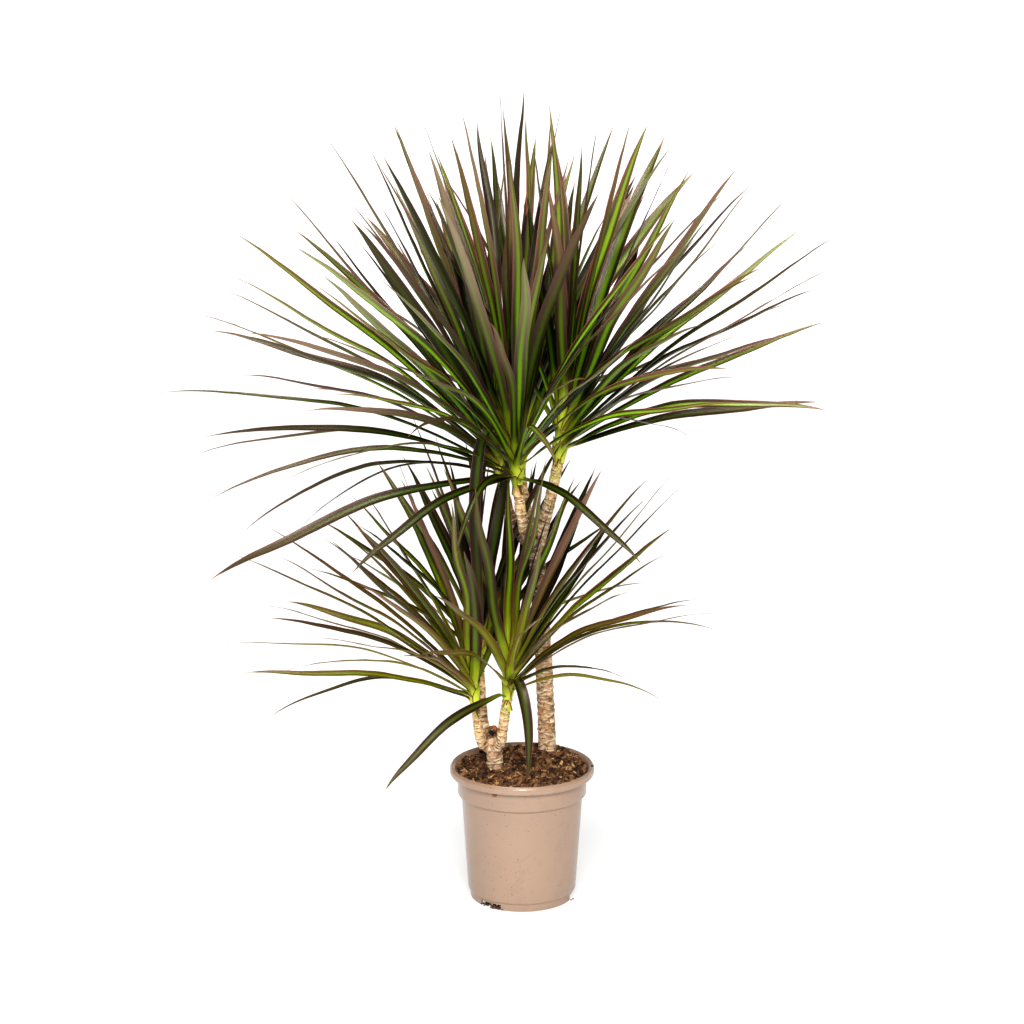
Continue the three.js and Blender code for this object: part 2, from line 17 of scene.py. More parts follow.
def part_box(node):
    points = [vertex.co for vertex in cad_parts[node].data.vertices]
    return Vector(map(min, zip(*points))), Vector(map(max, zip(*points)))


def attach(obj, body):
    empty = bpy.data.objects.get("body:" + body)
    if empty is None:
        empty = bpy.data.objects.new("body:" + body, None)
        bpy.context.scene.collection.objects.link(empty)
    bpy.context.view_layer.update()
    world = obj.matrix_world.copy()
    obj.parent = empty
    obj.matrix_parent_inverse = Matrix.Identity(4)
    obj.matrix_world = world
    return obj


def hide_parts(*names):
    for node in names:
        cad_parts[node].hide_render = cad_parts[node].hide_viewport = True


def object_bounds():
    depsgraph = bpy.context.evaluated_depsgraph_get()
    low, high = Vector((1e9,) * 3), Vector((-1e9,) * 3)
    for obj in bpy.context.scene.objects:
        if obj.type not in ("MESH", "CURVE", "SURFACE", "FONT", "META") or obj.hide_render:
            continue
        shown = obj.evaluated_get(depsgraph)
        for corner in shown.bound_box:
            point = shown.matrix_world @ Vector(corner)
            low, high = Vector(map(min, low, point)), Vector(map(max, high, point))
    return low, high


bl_info = {
    "name": "Potted dracaena marginata",
    "version": (1, 0, 0),
    "blender": (4, 5, 0),
    "location": "3D View > Sidebar > Plant",
    "description": "Makes the pot, peat, canes and leaves of a potted dracaena marginata",
    "category": "Object",
}

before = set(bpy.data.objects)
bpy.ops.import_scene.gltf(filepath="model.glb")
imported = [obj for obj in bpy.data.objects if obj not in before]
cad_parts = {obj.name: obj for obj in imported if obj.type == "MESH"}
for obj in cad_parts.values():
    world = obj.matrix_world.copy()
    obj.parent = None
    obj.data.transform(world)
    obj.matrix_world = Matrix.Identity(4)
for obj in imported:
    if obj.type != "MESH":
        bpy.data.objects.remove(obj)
CAD_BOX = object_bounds()

# ------------------------------------------------------------------ the plan, millimetres

MM = 0.001
GOLDEN_TURN = 137.508
POT = Plan(
    height=162, lip_radius=85, lip_width=5.5, lip_height=10, band_radius=76, band_height=24,
    body_top=71.5, body_bottom=63.8, foot_radius=60.9, foot_height=10, foot_wall=2.4,
    wall=1.8, floor=2.2, rounding=1.6,
)
NOTCH = Plan(count=3, first_turn=-128, width=29, height=6.5, depth=20)
DRAIN = Plan(count=6, first_turn=30, radius=5.5, from_axis=40, depth=10)
SOIL = Plan(level=157, lump=1.69)
HEAP = Plan(x=34, y=54, height=6.5, spread=34)

TALL_CANE = Plan(
    points=[[30, 48, 118], [30, 48, 165], [26, 46, 270], [20, 41, 360], [17, 38, 420]],
    radii=[10.6, 9.6],
)
TALL_STUB = Plan(points=[[17, 38, 412], [13, 33, 436]], radii=[7.5, 6])
SHORT_CANE = Plan(points=[[-32, 2, 112], [-32, 2, 160], [-33, 1, 190]], radii=[9.4, 9.6])
SHORT_STUB = Plan(points=[[-33, 1, 182], [-36, 2, 207]], radii=[8.6, 7])

STEM = Plan(root_of_level=0.12, root_per_degree=1 / 105, lowest_root=0.08, highest_root=0.95)
BLADE = Plan(widest_at=0.4, base_share=0.42, taper=1.7, sunk=2, roll=60, sway=0.045)
RULE = Plan(
    youngest_lift=86, lift_curve=1.15, turn_chance=10, lift_chance=7, width_chance=0.28,
    length=0.93, longest_age=0.4, length_loss=0.14, length_chance=0.16,
    arch=0.012, arch_with_age=0.075, arch_chance=0.03,
)
CLEAR = Plan(
    stations=[0, 0.15, 0.3, 0.45, 0.6, 0.75, 0.9, 1], same_head_from=0.3, gap=0.6,
    chosen_turns=[0, 3, -3, 6, -6, 10, -10, 14, -14, 19, -19],
    rule_turns=[0, 8, -8, 16, -16, 25, -25, 35, -35],
)

# A chosen leaf is turn from +X, lift of its chord, length, arch above the chord and width, in
# degrees and millimetres, and its roll where it has one. The other leaves follow the rule.
HEADS = [
    Plan(
        name="leaves_front", base=[-6, -10, 506], lean=[-0.06, -0.04], height=56, radius=6.4,
        branch=[[17, 36, 418], [9, 14, 430], [1, -4, 455]], branch_radii=[7.2, 5.9],
        facing=-92, spread=72, rule=28, length=385, width=13.5, lowest=18, seed=11,
        chosen=[
            [-87, 45, 395, 18, 16, 0], [-62, 35, 345, 12, 13, 25], [-37, 21, 325, 28, 10],
            [-60, -8, 228, 18, 17, 35], [240, -19, 150, 34, 13, -20], [196, -15, 365, 32, 14, -40],
            [199, 1, 353, 44, 9], [212, 6, 292, 40, 9], [231, 24, 340, 25, 10],
            [242, 22, 344, 28, 10], [150, 87, 392, 4, 9], [200, 81, 384, 5, 10],
            [214, -20, 230, 24, 13, -35],
        ],
    ),
    Plan(
        name="leaves_right", base=[42, 28, 522], lean=[0.1, -0.02], height=54, radius=6.6,
        branch=[[18, 38, 414], [24, 36, 440], [34, 32, 482]], branch_radii=[7.6, 6.2],
        facing=8, spread=78, rule=24, length=365, width=13, lowest=12, seed=23,
        chosen=[
            [-8, 13, 300, 14, 13, 35], [2, 25.5, 330, 12, 12, 30], [-2, 38, 392, 10, 10],
            [4, 47, 380, 8, 11], [-5, 58, 360, 6, 15, -50], [10, 52, 362, 8, 9],
            [9, 41, 366, 10, 10], [-7, 35, 361, 12, 9], [41, 19, 300, 18, 10],
            [33, 38, 332, 10, 10], [-56, 15, 251, 30, 8], [25, 62, 330, 6, 10],
            [-10, 69, 328, 5, 9], [5, 78, 352, 4, 12], [0, 84, 340, 4, 10],
            [-20, 45, 88, 18, 11], [-40, 53, 312, 8, 12],
        ],
    ),
    Plan(
        name="leaves_left", base=[-24, 40, 498], lean=[-0.1, 0.02], height=56, radius=6.2,
        branch=[[16, 38, 414], [2, 41, 426], [-14, 42, 455]], branch_radii=[7.2, 5.8],
        facing=172, spread=74, rule=27, length=375, width=12.5, lowest=6, seed=37,
        chosen=[
            [180, 13, 402, 32, 9], [176, 26, 385, 22, 9], [183, 33, 372, 18, 9],
            [178, 41, 393, 12, 11], [184, 52, 382, 8, 10], [177, 62, 397, 8, 11],
            [172, 67, 374, 6, 10], [186, 73, 386, 6, 11], [162, 15, 332, 30, 9],
            [184, 4, 350, 42, 9], [187, -11, 302, 45, 8], [176, -18, 252, 45, 8],
            [143, 43, 342, 10, 10],
        ],
    ),
    Plan(
        name="leaves_back", base=[-2, 80, 500], lean=[0, 0.08], height=56, radius=6.2,
        branch=[[17, 40, 414], [12, 60, 430], [4, 74, 458]], branch_radii=[7.2, 5.8],
        facing=88, spread=86, rule=32, length=385, width=13, lowest=6, seed=53,
        chosen=[
            [100, 87, 392, 4, 11], [80, 77, 370, 4, 10], [70, 73, 374, 6, 9],
            [63, 67, 341, 6, 10], [122, 66, 348, 6, 10], [125, 60, 363, 8, 10],
            [158, 66, 392, 6, 10], [150, 70, 385, 6, 9], [105, 81, 374, 4, 10],
        ],
    ),
    Plan(
        name="leaves_low_left", base=[-55, -12, 240], lean=[-0.05, -0.02], height=42, radius=5.2,
        branch=[[-34, 1, 178], [-47, -7, 190], [-52, -10, 214]], branch_radii=[6, 4.9],
        facing=196, spread=64, rule=15, length=285, width=12, lowest=14, seed=71,
        chosen=[
            [189, 9, 266, 16, 14, -30], [178, -6, 243, 40, 7], [183, 13, 299, 28, 8],
            [206, 15, 239, 26, 8], [173, 22, 258, 20, 9], [180, 31, 317, 14, 10],
            [196, 38, 280, 12, 11], [176, 39, 297, 10, 9], [186, 55, 258, 8, 10],
            [207, 48, 261, 8, 11], [168, 60, 242, 6, 10], [218, 26, 234, 20, 9],
            [180, 72, 269, 4, 10],
        ],
    ),
    Plan(
        name="leaves_low_right", base=[-17, -18, 250], lean=[0.06, -0.04], height=44, radius=5.8,
        branch=[[-32, 0, 178], [-25, -8, 192], [-22, -13, 215]], branch_radii=[6.4, 5.4],
        facing=-38, spread=76, rule=18, length=275, width=12, lowest=14, seed=89,
        chosen=[
            [-3, 53, 298, 6, 8], [4, 49, 292, 8, 8], [-19, 46, 268, 8, 14, 40],
            [2, 25, 237, 22, 9], [-10, 23, 251, 24, 8], [5, 13, 254, 42, 8],
            [-23, 5, 184, 22, 9], [-8, 67, 263, 4, 14, -60], [-44, 55, 252, 6, 11],
            [-15, 72, 224, 4, 9], [213, -28, 184, 18, 15, -45],
        ],
    ),
    Plan(
        name="leaves_low_back", base=[-49, 28, 272], lean=[0.02, 0.06], height=42, radius=5,
        branch=[[-33, 3, 180], [-42, 15, 194], [-47, 24, 232]], branch_radii=[5.6, 4.6],
        facing=105, spread=80, rule=20, length=265, width=11.5, lowest=14, seed=97,
        chosen=[[166, 73, 277, 4, 10], [135, 70, 246, 4, 10], [158, 46, 234, 10, 9]],
    ),
]

# A folded leaf is four control points and a width.
FOLDED = {
    "leaves_front": Plan(
        points=[[-9, -13, 548], [-62, -40, 630], [-56, -56, 500], [-44, -64, 325]], width=17),
    "leaves_low_right": Plan(
        points=[[-15, -21, 256], [-7, -50, 318], [14, -66, 240], [4, -74, 165]], width=14),
}
LOW_HEADS = 4  # the heads from this number on stand on the short cane

# The inner leaves, which only the scene has, fill each head towards its back.
FILL = Plan(
    share=0.6, facing=90, spread=150, steepest=87, flattest=42, lift_chance=6,
    longest=0.98, shortest=0.66, bend=0.02, narrowest=0.75, widest=1.1,
)

# ------------------------------------------------------------------ numbers and meshes


def mix(a, b, t):
    return (1 - t) * a + t * b


def smooth(x):
    """A soft step from 0 to 1 as x goes from 0 to 1."""
    x = np.clip(x, 0, 1)
    return x * x * (3 - 2 * x)


def unit(v):
    v = np.asarray(v, float)
    return v / np.linalg.norm(v, axis=-1, keepdims=True)


def dot(a, b):
    return (a * b).sum(-1)


def outward(turn):
    """The level direction at a turn from +X, in degrees."""
    return np.array([math.cos(math.radians(turn)), math.sin(math.radians(turn)), 0.0])


def across(turn):
    """The level direction at right angles to a turn from +X."""
    return np.array([-math.sin(math.radians(turn)), math.cos(math.radians(turn)), 0.0])


def draw(seed, use):
    """A repeatable draw between 0 and 1, for one seed and one use."""
    wave = math.sin(seed * 12.9898 + use * 78.233) * 43758.5453
    return wave - math.floor(wave)


def linear(red, green, blue):
    """A colour given as 0 to 255 on screen, as the light that it stands for."""
    parts = [c / 255 for c in (red, green, blue)]
    return tuple(c / 12.92 if c <= 0.04045 else ((c + 0.055) / 1.055) ** 2.4 for c in parts)


def cloud(points, size, shift=0.0):
    """Smooth noise between about -1 and 1 at each point, with lumps of that size."""
    offset = Vector((shift, shift * 1.7, shift * 2.3))
    return np.array([noise.noise(Vector(p) / size + offset) for p in points])


def bezier(points, t):
    """Points at each t on the Bezier curve of any number of control points."""
    t = np.atleast_1d(np.asarray(t, float))[:, None]
    row = [np.broadcast_to(np.asarray(p, float), (len(t), 3)) for p in points]
    while len(row) > 1:
        row = [mix(a, b, t) for a, b in zip(row, row[1:])]
    return row[0]


POT_LOW, POT_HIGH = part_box("pot")
AXIS = np.array([(POT_LOW.x + POT_HIGH.x) / 2, (POT_LOW.y + POT_HIGH.y) / 2, 0.0])


def in_frame(points):
    """Millimetres about the pot's axis as metres in the frame."""
    return np.asarray(points, float) * MM + AXIS


def in_plan(points):
    """Metres in the frame as millimetres about the pot's axis."""
    return (np.asarray(points, float) - AXIS) / MM


def rows_of(items, field):
    """The vector that each item of a mesh has in a field."""
    values = np.empty(len(items) * 3, np.float32)
    items.foreach_get(field, values)
    return values.reshape(-1, 3).astype(float)


def store(mesh, name, values):
    """Keeps one number or one vector for each point of a mesh under a name."""
    values = np.asarray(values, np.float32)
    kind, field = ("FLOAT_VECTOR", "vector") if values.ndim == 2 else ("FLOAT", "value")
    mesh.attributes.new(name, kind, "POINT").data.foreach_set(field, values.ravel())


def shown(name, data):
    """An object in the scene that shows a mesh, a light or a camera."""
    obj = bpy.data.objects.new(name, data)
    bpy.context.scene.collection.objects.link(obj)
    return obj


def new_object(name, points, edges=(), faces=(), stored=None, material=None):
    """An object whose mesh is given in millimetres about the pot's axis."""
    mesh = bpy.data.meshes.new(name)
    mesh.from_pydata(in_frame(points).tolist(), list(edges), list(faces))
    for key, values in (stored or {}).items():
        store(mesh, key, values)
    if material:
        mesh.materials.append(material)
    return shown(name, mesh)


def baked(obj):
    """Turns what the object's modifiers make into its plain mesh."""
    bpy.context.view_layer.update()
    graph = bpy.context.evaluated_depsgraph_get()
    mesh = bpy.data.meshes.new_from_object(obj.evaluated_get(graph))
    obj.modifiers.clear()
    obj.data = mesh
    mesh.name = obj.name
    return obj


def smoothed(obj, sharp_above=None):
    """Shades a piece smooth, with creases only where faces meet at a steeper angle."""
    obj.data.shade_smooth()
    if sharp_above:
        obj.data.set_sharp_from_angle(angle=math.radians(sharp_above))
    return obj


def belongs(obj, slot, *nodes):
    """Hangs a piece on the root and hides the solids that it stands for; its slot, what it is made
    of, is not used.
    """
    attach(obj, "root")
    if nodes:
        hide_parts(*nodes)
    return obj


def grid_faces(rings, sides):
    """Quads between rings of equally many points."""
    faces = []
    for start in range(0, (rings - 1) * sides, sides):
        for k in range(sides):
            a, b = start + k, start + (k + 1) % sides
            faces.append((a, b, b + sides, a + sides))
    return faces


def joined(parts):
    """One mesh of several, each given as its points and its faces or edges."""
    points, faces = [], []
    for more, more_faces in parts:
        start = sum(map(len, points))
        points.append(more)
        faces += [tuple(start + k for k in face) for face in more_faces]
    return np.vstack(points), faces


# ------------------------------------------------------------------ node trees


def operators(operation):
    """An operator that adds a Math node, and its reflected form."""
    return (
        lambda self, other: self.join(operation, self, other),
        lambda self, other: self.join(operation, other, self),
    )


class Socket:
    """A node's output that joins in Python expressions: each operator adds its Math node."""

    __add__, __radd__ = operators("ADD")
    __sub__, __rsub__ = operators("SUBTRACT")
    __mul__, __rmul__ = operators("MULTIPLY")
    __truediv__, __rtruediv__ = operators("DIVIDE")
    __gt__, __lt__ = operators("GREATER_THAN")

    def __init__(self, tree, link):
        self.tree, self.link = tree, link

    def __getitem__(self, name):
        """Another output of the same node."""
        return Socket(self.tree, find_socket(self.link.node.outputs, name))

    def __abs__(self):
        return self.math("ABSOLUTE")

    def math(self, operation, *others, kind="ShaderNodeMath"):
        return self.tree.add(kind, dict(enumerate((self, *others))), operation=operation)

    def length(self):
        return self.math("LENGTH", kind="ShaderNodeVectorMath")["Value"]

    def scaled(self, amount):
        return self.tree.add(
            "ShaderNodeVectorMath", {"Vector": self, "Scale": amount}, operation="SCALE")

    def join(self, operation, one, two):
        """Adds the Math node of two values, or the Vector Math node where one is a vector."""
        vectors = [
            s.link.type in ("VECTOR", "RGBA") if isinstance(s, Socket) else isinstance(s, tuple)
            for s in (one, two)
        ]
        kind = "ShaderNodeVectorMath" if any(vectors) else "ShaderNodeMath"
        return self.tree.add(kind, {0: one, 1: two}, operation=operation)

    def step(self, low, high):
        """A soft step from 0 at low to 1 at high; low may be the higher number."""
        sockets = {"Value": self, "From Min": low, "From Max": high, "To Min": 0.0, "To Max": 1.0}
        return self.tree.add(
            "ShaderNodeMapRange", sockets, interpolation_type="SMOOTHSTEP", clamp=True)


def find_socket(sockets, key):
    """A socket by its index, or the one in use that has this name."""
    if isinstance(key, int):
        return sockets[key]
    named = [s for s in sockets if s.name == key and s.enabled]
    if not named:
        raise KeyError(f"no socket {key!r} among {[s.name for s in sockets]}")
    return named[0]


class Tree:
    """A node tree, with one method that adds any node to it."""

    def __init__(self, tree):
        self.tree = tree
        tree.nodes.clear()

    def add(self, kind, sockets=None, out=None, **settings):
        """Adds a node with its settings, then gives its sockets their values or links."""
        node = self.tree.nodes.new(kind)
        for name, value in settings.items():
            setattr(node, name, value)
        for key, value in (sockets or {}).items():
            socket = find_socket(node.inputs, key)
            if isinstance(value, Socket):
                self.tree.links.new(value.link, socket)
            elif socket.type == "RGBA" and len(value) == 3:
                socket.default_value = (*value, 1.0)
            else:
                socket.default_value = value
        outputs = [s for s in node.outputs if s.enabled]
        if out is not None:
            return Socket(self, find_socket(node.outputs, out))
        return Socket(self, outputs[0]) if outputs else node

    def blend(self, share, a, b):
        """Mixes two colours, each a socket or the red, green and blue of a screen, 0 to 255."""
        a, b = (linear(*c) if isinstance(c, tuple) else c for c in (a, b))
        return self.add("ShaderNodeMix", {"Factor": share, "A": a, "B": b}, data_type="RGBA")

    def paint(self, colour, *layers):
        """Lays further colours over a first one, each by its own share."""
        for share, over in layers:
            colour = self.blend(share, colour, over)
        return colour

    def noise(self, vector, scale, detail=2.0, roughness=0.5):
        sockets = {"Vector": vector, "Scale": scale, "Detail": detail, "Roughness": roughness}
        return self.add("ShaderNodeTexNoise", sockets)

    def vector(self, x=0.0, y=0.0, z=0.0):
        return self.add("ShaderNodeCombineXYZ", {"X": x, "Y": y, "Z": z})

    def part(self, vector, axis):
        return self.add("ShaderNodeSeparateXYZ", {"Vector": vector}, axis)


class Finish(Tree):
    """A material's node tree, with the places that its patterns are read from."""

    def __init__(self, name):
        self.material = bpy.data.materials.new(name)
        self.material.use_nodes = True
        super().__init__(self.material.node_tree)

    def place(self):
        return self.add("ShaderNodeTexCoord", out="Object")

    def stored(self, name, out="Fac"):
        return self.add("ShaderNodeAttribute", None, out, attribute_name=name)

    def bump(self, height, distance, strength):
        sockets = {"Height": height, "Distance": distance, "Strength": strength}
        return self.add("ShaderNodeBump", sockets)

    def surface(self, **sockets):
        """Joins the shader's sockets to the output; names are written with underscores."""
        named = {key.replace("_", " "): value for key, value in sockets.items()}
        shader = self.add("ShaderNodeBsdfPrincipled", named)
        self.add("ShaderNodeOutputMaterial", {"Surface": shader})
        return self.material


class Recipe(Tree):
    """A geometry node tree with named inputs."""

    def __init__(self, name, **inputs):
        group = bpy.data.node_groups.new(name, "GeometryNodeTree")
        super().__init__(group)
        group.interface.new_socket("Geometry", in_out="OUTPUT", socket_type="NodeSocketGeometry")
        for label, kind in inputs.items():
            group.interface.new_socket(
                label.replace("_", " "), in_out="INPUT", socket_type="NodeSocket" + kind)
        self.start = self.tree.nodes.new("NodeGroupInput")

    def given(self, name):
        return Socket(self, find_socket(self.start.outputs, name))

    def named(self, name, kind="FLOAT"):
        return self.add("GeometryNodeInputNamedAttribute", {"Name": name}, data_type=kind)

    def keep(self, geometry, name, value, kind="FLOAT", domain="POINT"):
        sockets = {"Geometry": geometry, "Name": name, "Value": value}
        return self.add("GeometryNodeStoreNamedAttribute", sockets, data_type=kind, domain=domain)

    def chance(self, low, high, seed, kind="FLOAT"):
        sockets = {"Min": low, "Max": high, "Seed": seed}
        return self.add("FunctionNodeRandomValue", sockets, data_type=kind)

    def end(self, geometry, material):
        """Every recipe ends in real meshes with their material set."""
        real = self.add("GeometryNodeRealizeInstances", {"Geometry": geometry})
        dressed = self.add("GeometryNodeSetMaterial", {"Geometry": real, "Material": material})
        self.add("NodeGroupOutput", {"Geometry": dressed})
        return self.tree


def follow(obj, recipe, **values):
    """Runs a recipe on an object and keeps what it makes as the object's mesh."""
    modifier = obj.modifiers.new(recipe.name, "NODES")
    modifier.node_group = recipe
    for item in recipe.interface.items_tree:
        key = item.name.replace(" ", "_")
        if item.in_out == "INPUT" and key in values:
            modifier[item.identifier] = values[key]
    slots = baked(obj).data.materials
    for k in reversed(range(len(slots))):
        if slots[k] is None:
            slots.pop(index=k)
    return obj


# ------------------------------------------------------------------ the plan of the leaves


def width_at(width, t):
    """A blade's width at t: it widens to its widest place and then runs to a point."""
    rising = mix(BLADE.base_share, 1, smooth(t / BLADE.widest_at))
    past = np.clip((t - BLADE.widest_at) / (1 - BLADE.widest_at), 0, 1)
    return width * np.where(t < BLADE.widest_at, rising, 1 - past ** BLADE.taper)


def stem_swell(share):
    """The leafy stem's radius along its height: full at the sheaths, slender at its tip."""
    return 0.95 + 0.9 * share * (1 - share) - 0.5 * share * share


def stem_direction(head):
    return unit([*head.lean, 1])


def root_on(head, turn, lift):
    """Where on its stem a leaf is rooted: low for a low leaf, high for an upright one."""
    level = STEM.root_of_level + lift * STEM.root_per_degree
    share = min(max(level, STEM.lowest_root), STEM.highest_root)
    out = head.radius * stem_swell(share) - BLADE.sunk
    return head.base + stem_direction(head) * head.height * share + outward(turn) * out


def leaf_from(root, turn, lift, length, arch, width):
    """The spine of a leaf that is given by its turn, lift, length, arch and width."""
    rise, run = math.sin(math.radians(lift)), math.cos(math.radians(lift))
    chord = run * outward(turn) + [0, 0, rise]
    upward = -rise * outward(turn) + [0, 0, run]
    middle = root + chord * length / 2 + upward * 2 * arch
    return Plan(points=[root, middle, root + chord * length], turn=turn, width=width)


def rule_leaf(head, i):
    """The rule for the leaves between the chosen ones, from the youngest to the oldest."""
    age = (i + 0.5) / head.rule

    def chance(use):
        return draw(head.seed + i, use) - 0.5

    round_stem = ((i * GOLDEN_TURN + head.seed * 40) % 360) - 180
    fan = mix(1, head.spread / 180, math.sqrt(age))
    turn = head.facing + round_stem * fan + RULE.turn_chance * chance(1)
    lift = mix(RULE.youngest_lift, head.lowest, age ** RULE.lift_curve)
    lift += RULE.lift_chance * chance(2)
    off_longest = (age - RULE.longest_age) ** 2
    length = head.length * (
        RULE.length - RULE.length_loss * off_longest + RULE.length_chance * chance(3))
    bend = RULE.arch + RULE.arch_with_age * age * age + RULE.arch_chance * (chance(4) + 0.5)
    width = head.width * (0.9 + RULE.width_chance * chance(5))
    return [turn, lift, length, length * bend, width]


def segments_of(leaf, head):
    """A leaf's straight segments as rows: both ends, both half-widths, head and freedom."""
    t = np.array(CLEAR.stations)
    spots = bezier(leaf.points, t)
    halves = width_at(leaf.width, t) / 2
    tags = np.full(len(t) - 1, head.number)
    free = t[:-1] >= CLEAR.same_head_from
    return np.column_stack([spots[:-1], spots[1:], halves[:-1], halves[1:], tags, free])


def stem_segments():
    """The canes and the leafy stems as plain segments that leaves keep clear of."""
    rows = []

    def chain(points, radii, number):
        for a, b in zip(points, points[1:]):
            rows.append([*a, *b, *radii, number, 0])

    for cane in (TALL_CANE, TALL_STUB, SHORT_CANE, SHORT_STUB):
        chain(cane.points, cane.radii, -1)
    for head in HEADS:
        top = head.base + stem_direction(head) * head.height
        chain([*head.branch, head.base], head.branch_radii, head.number)
        chain([head.base, top], [head.radius, head.radius], head.number)
    return np.array(rows, float)


def is_clear(rows, placed):
    """Whether every new segment keeps its gap to the placed ones that it is measured against."""
    one, two = rows[:, None], placed[None]
    u, v = one[..., 3:6] - one[..., :3], two[..., 3:6] - two[..., :3]
    w = one[..., :3] - two[..., :3]
    a, b, c, d, e = dot(u, u), dot(u, v), dot(v, v), dot(u, w), dot(v, w)
    room = a * c - b * b
    m = np.where(room > 1e-6, np.clip((b * e - c * d) / np.maximum(room, 1e-6), 0, 1), 0)
    n = np.clip((b * m + e) / c, 0, 1)
    m = np.clip((b * n - d) / a, 0, 1)
    apart = np.linalg.norm(w + u * m[..., None] - v * n[..., None], axis=-1)
    apart -= mix(one[..., 6], one[..., 7], m) + mix(two[..., 6], two[..., 7], n)
    own = (one[..., 8] == two[..., 8]) & ~((one[..., 9] > 0) & (two[..., 9] > 0))
    return bool(np.all(own | (apart > CLEAR.gap)))


def place(head, values, turns, placed, inner=0):
    """Places one leaf at the first turn that keeps it clear of what already stands."""
    turn, lift, length, arch, width, *given_roll = values
    seed = head.seed + len(head.leaves)
    roll = given_roll[0] if given_roll else BLADE.roll * (2 * draw(seed, 9) - 1)
    sway = BLADE.sway * length * (2 * draw(seed, 8) - 1)
    for aside in turns:
        turned = turn + aside
        leaf = leaf_from(root_on(head, turned, lift), turned, lift, length, arch, width)
        leaf.points[1] = leaf.points[1] + across(turned) * sway
        leaf.roll, leaf.inner = roll, inner
        rows = segments_of(leaf, head)
        if is_clear(rows, np.vstack(placed)):
            placed.append(rows)
            head.leaves.append(leaf)
            return


def fill_leaf(head, i, count):
    """A leaf of the inner tuft, which closes the gaps between the leaves of the plan."""
    seed = head.seed + i
    turn = FILL.facing + FILL.spread * (draw(seed, 30) - 0.5)
    lift = mix(FILL.steepest, FILL.flattest, (i + 0.5) / count)
    lift += FILL.lift_chance * (draw(seed, 31) - 0.5)
    length = head.length * mix(FILL.longest, FILL.shortest, draw(seed, 32))
    width = head.width * mix(FILL.narrowest, FILL.widest, draw(seed, 33))
    return [turn, lift, length, length * FILL.bend, width]


def fold_leaf(head, folded, placed):
    """Places a folded leaf just as it is given."""
    points = [np.array(p, float) for p in folded.points]
    run = points[-1] - points[0]
    turn = math.degrees(math.atan2(run[1], run[0]))
    leaf = Plan(points=points, turn=turn, width=folded.width, roll=0, inner=0)
    head.leaves.append(leaf)
    placed.append(segments_of(leaf, head))


def place_leaves():
    """The folded leaves stand first, then the chosen ones, and the rules fill what is left."""
    for number, head in enumerate(HEADS):
        head.number = number
        head.base = np.array(head.base, float)
        head.leaves = []
    placed = [stem_segments()]
    for head in HEADS:
        if head.name in FOLDED:
            fold_leaf(head, FOLDED[head.name], placed)
    for head in HEADS:
        for values in head.chosen:
            place(head, values, CLEAR.chosen_turns, placed)
    for head in HEADS:
        for i in range(head.rule):
            place(head, rule_leaf(head, i), CLEAR.rule_turns, placed)
    for head in HEADS:
        count = round(head.rule * FILL.share)
        for i in range(count):
            place(head, fill_leaf(head, i, count), CLEAR.rule_turns, placed, inner=1)


# ------------------------------------------------------------------ leaves

SHEATH = Plan(height=20, wrap=1.45, sunk=1.7, slope=0.12, neck=6.2, join=20, points=6)
NECK = Plan(points=9, overlap=4, pull=0.42, fades_by=110)
# Widths are shares of the plan's: for a level and for an upright leaf of the upper heads; and of
# the low heads for a level leaf, and for a thin and a wide upright one.
FINISHED_BLADE = Plan(
    points=36, thinnest=0.16, fold=0.2, taper=(1.9, 3.2), upper_width=(1.0, 1.28),
    low_width=(0.68, 0.9, 1.18),
)
HANGING = Plan(below=2, leaf=0.7, tone=0.8, ruddy=0.4)
# How a blade leaves its planned line, in shares of its length. A thin one swings more, and one
# that points ahead, at the viewer, is narrower and swung aside.
SAG = Plan(start=0.4, least=0.008, most=0.026)
SWING = Plan(turns=1.6, least=0.05, thin=0.1)
FLICK = Plan(start=0.62, most=0.045)
AHEAD = Plan(start=0.3, span=0.64, swings_above=0.8, aside=0.55, down=0.5, narrower=0.46)
INSIDE_BOX = 0.6
SCALE = Plan(points=12, height=20, highest=0.55, lowest=-0.02, wrap=1.3, off=0.4, opens=2.6)
LEAF_VALUES = ("across", "upper", "along", "reach", "leaf", "tone", "age", "ruddy")


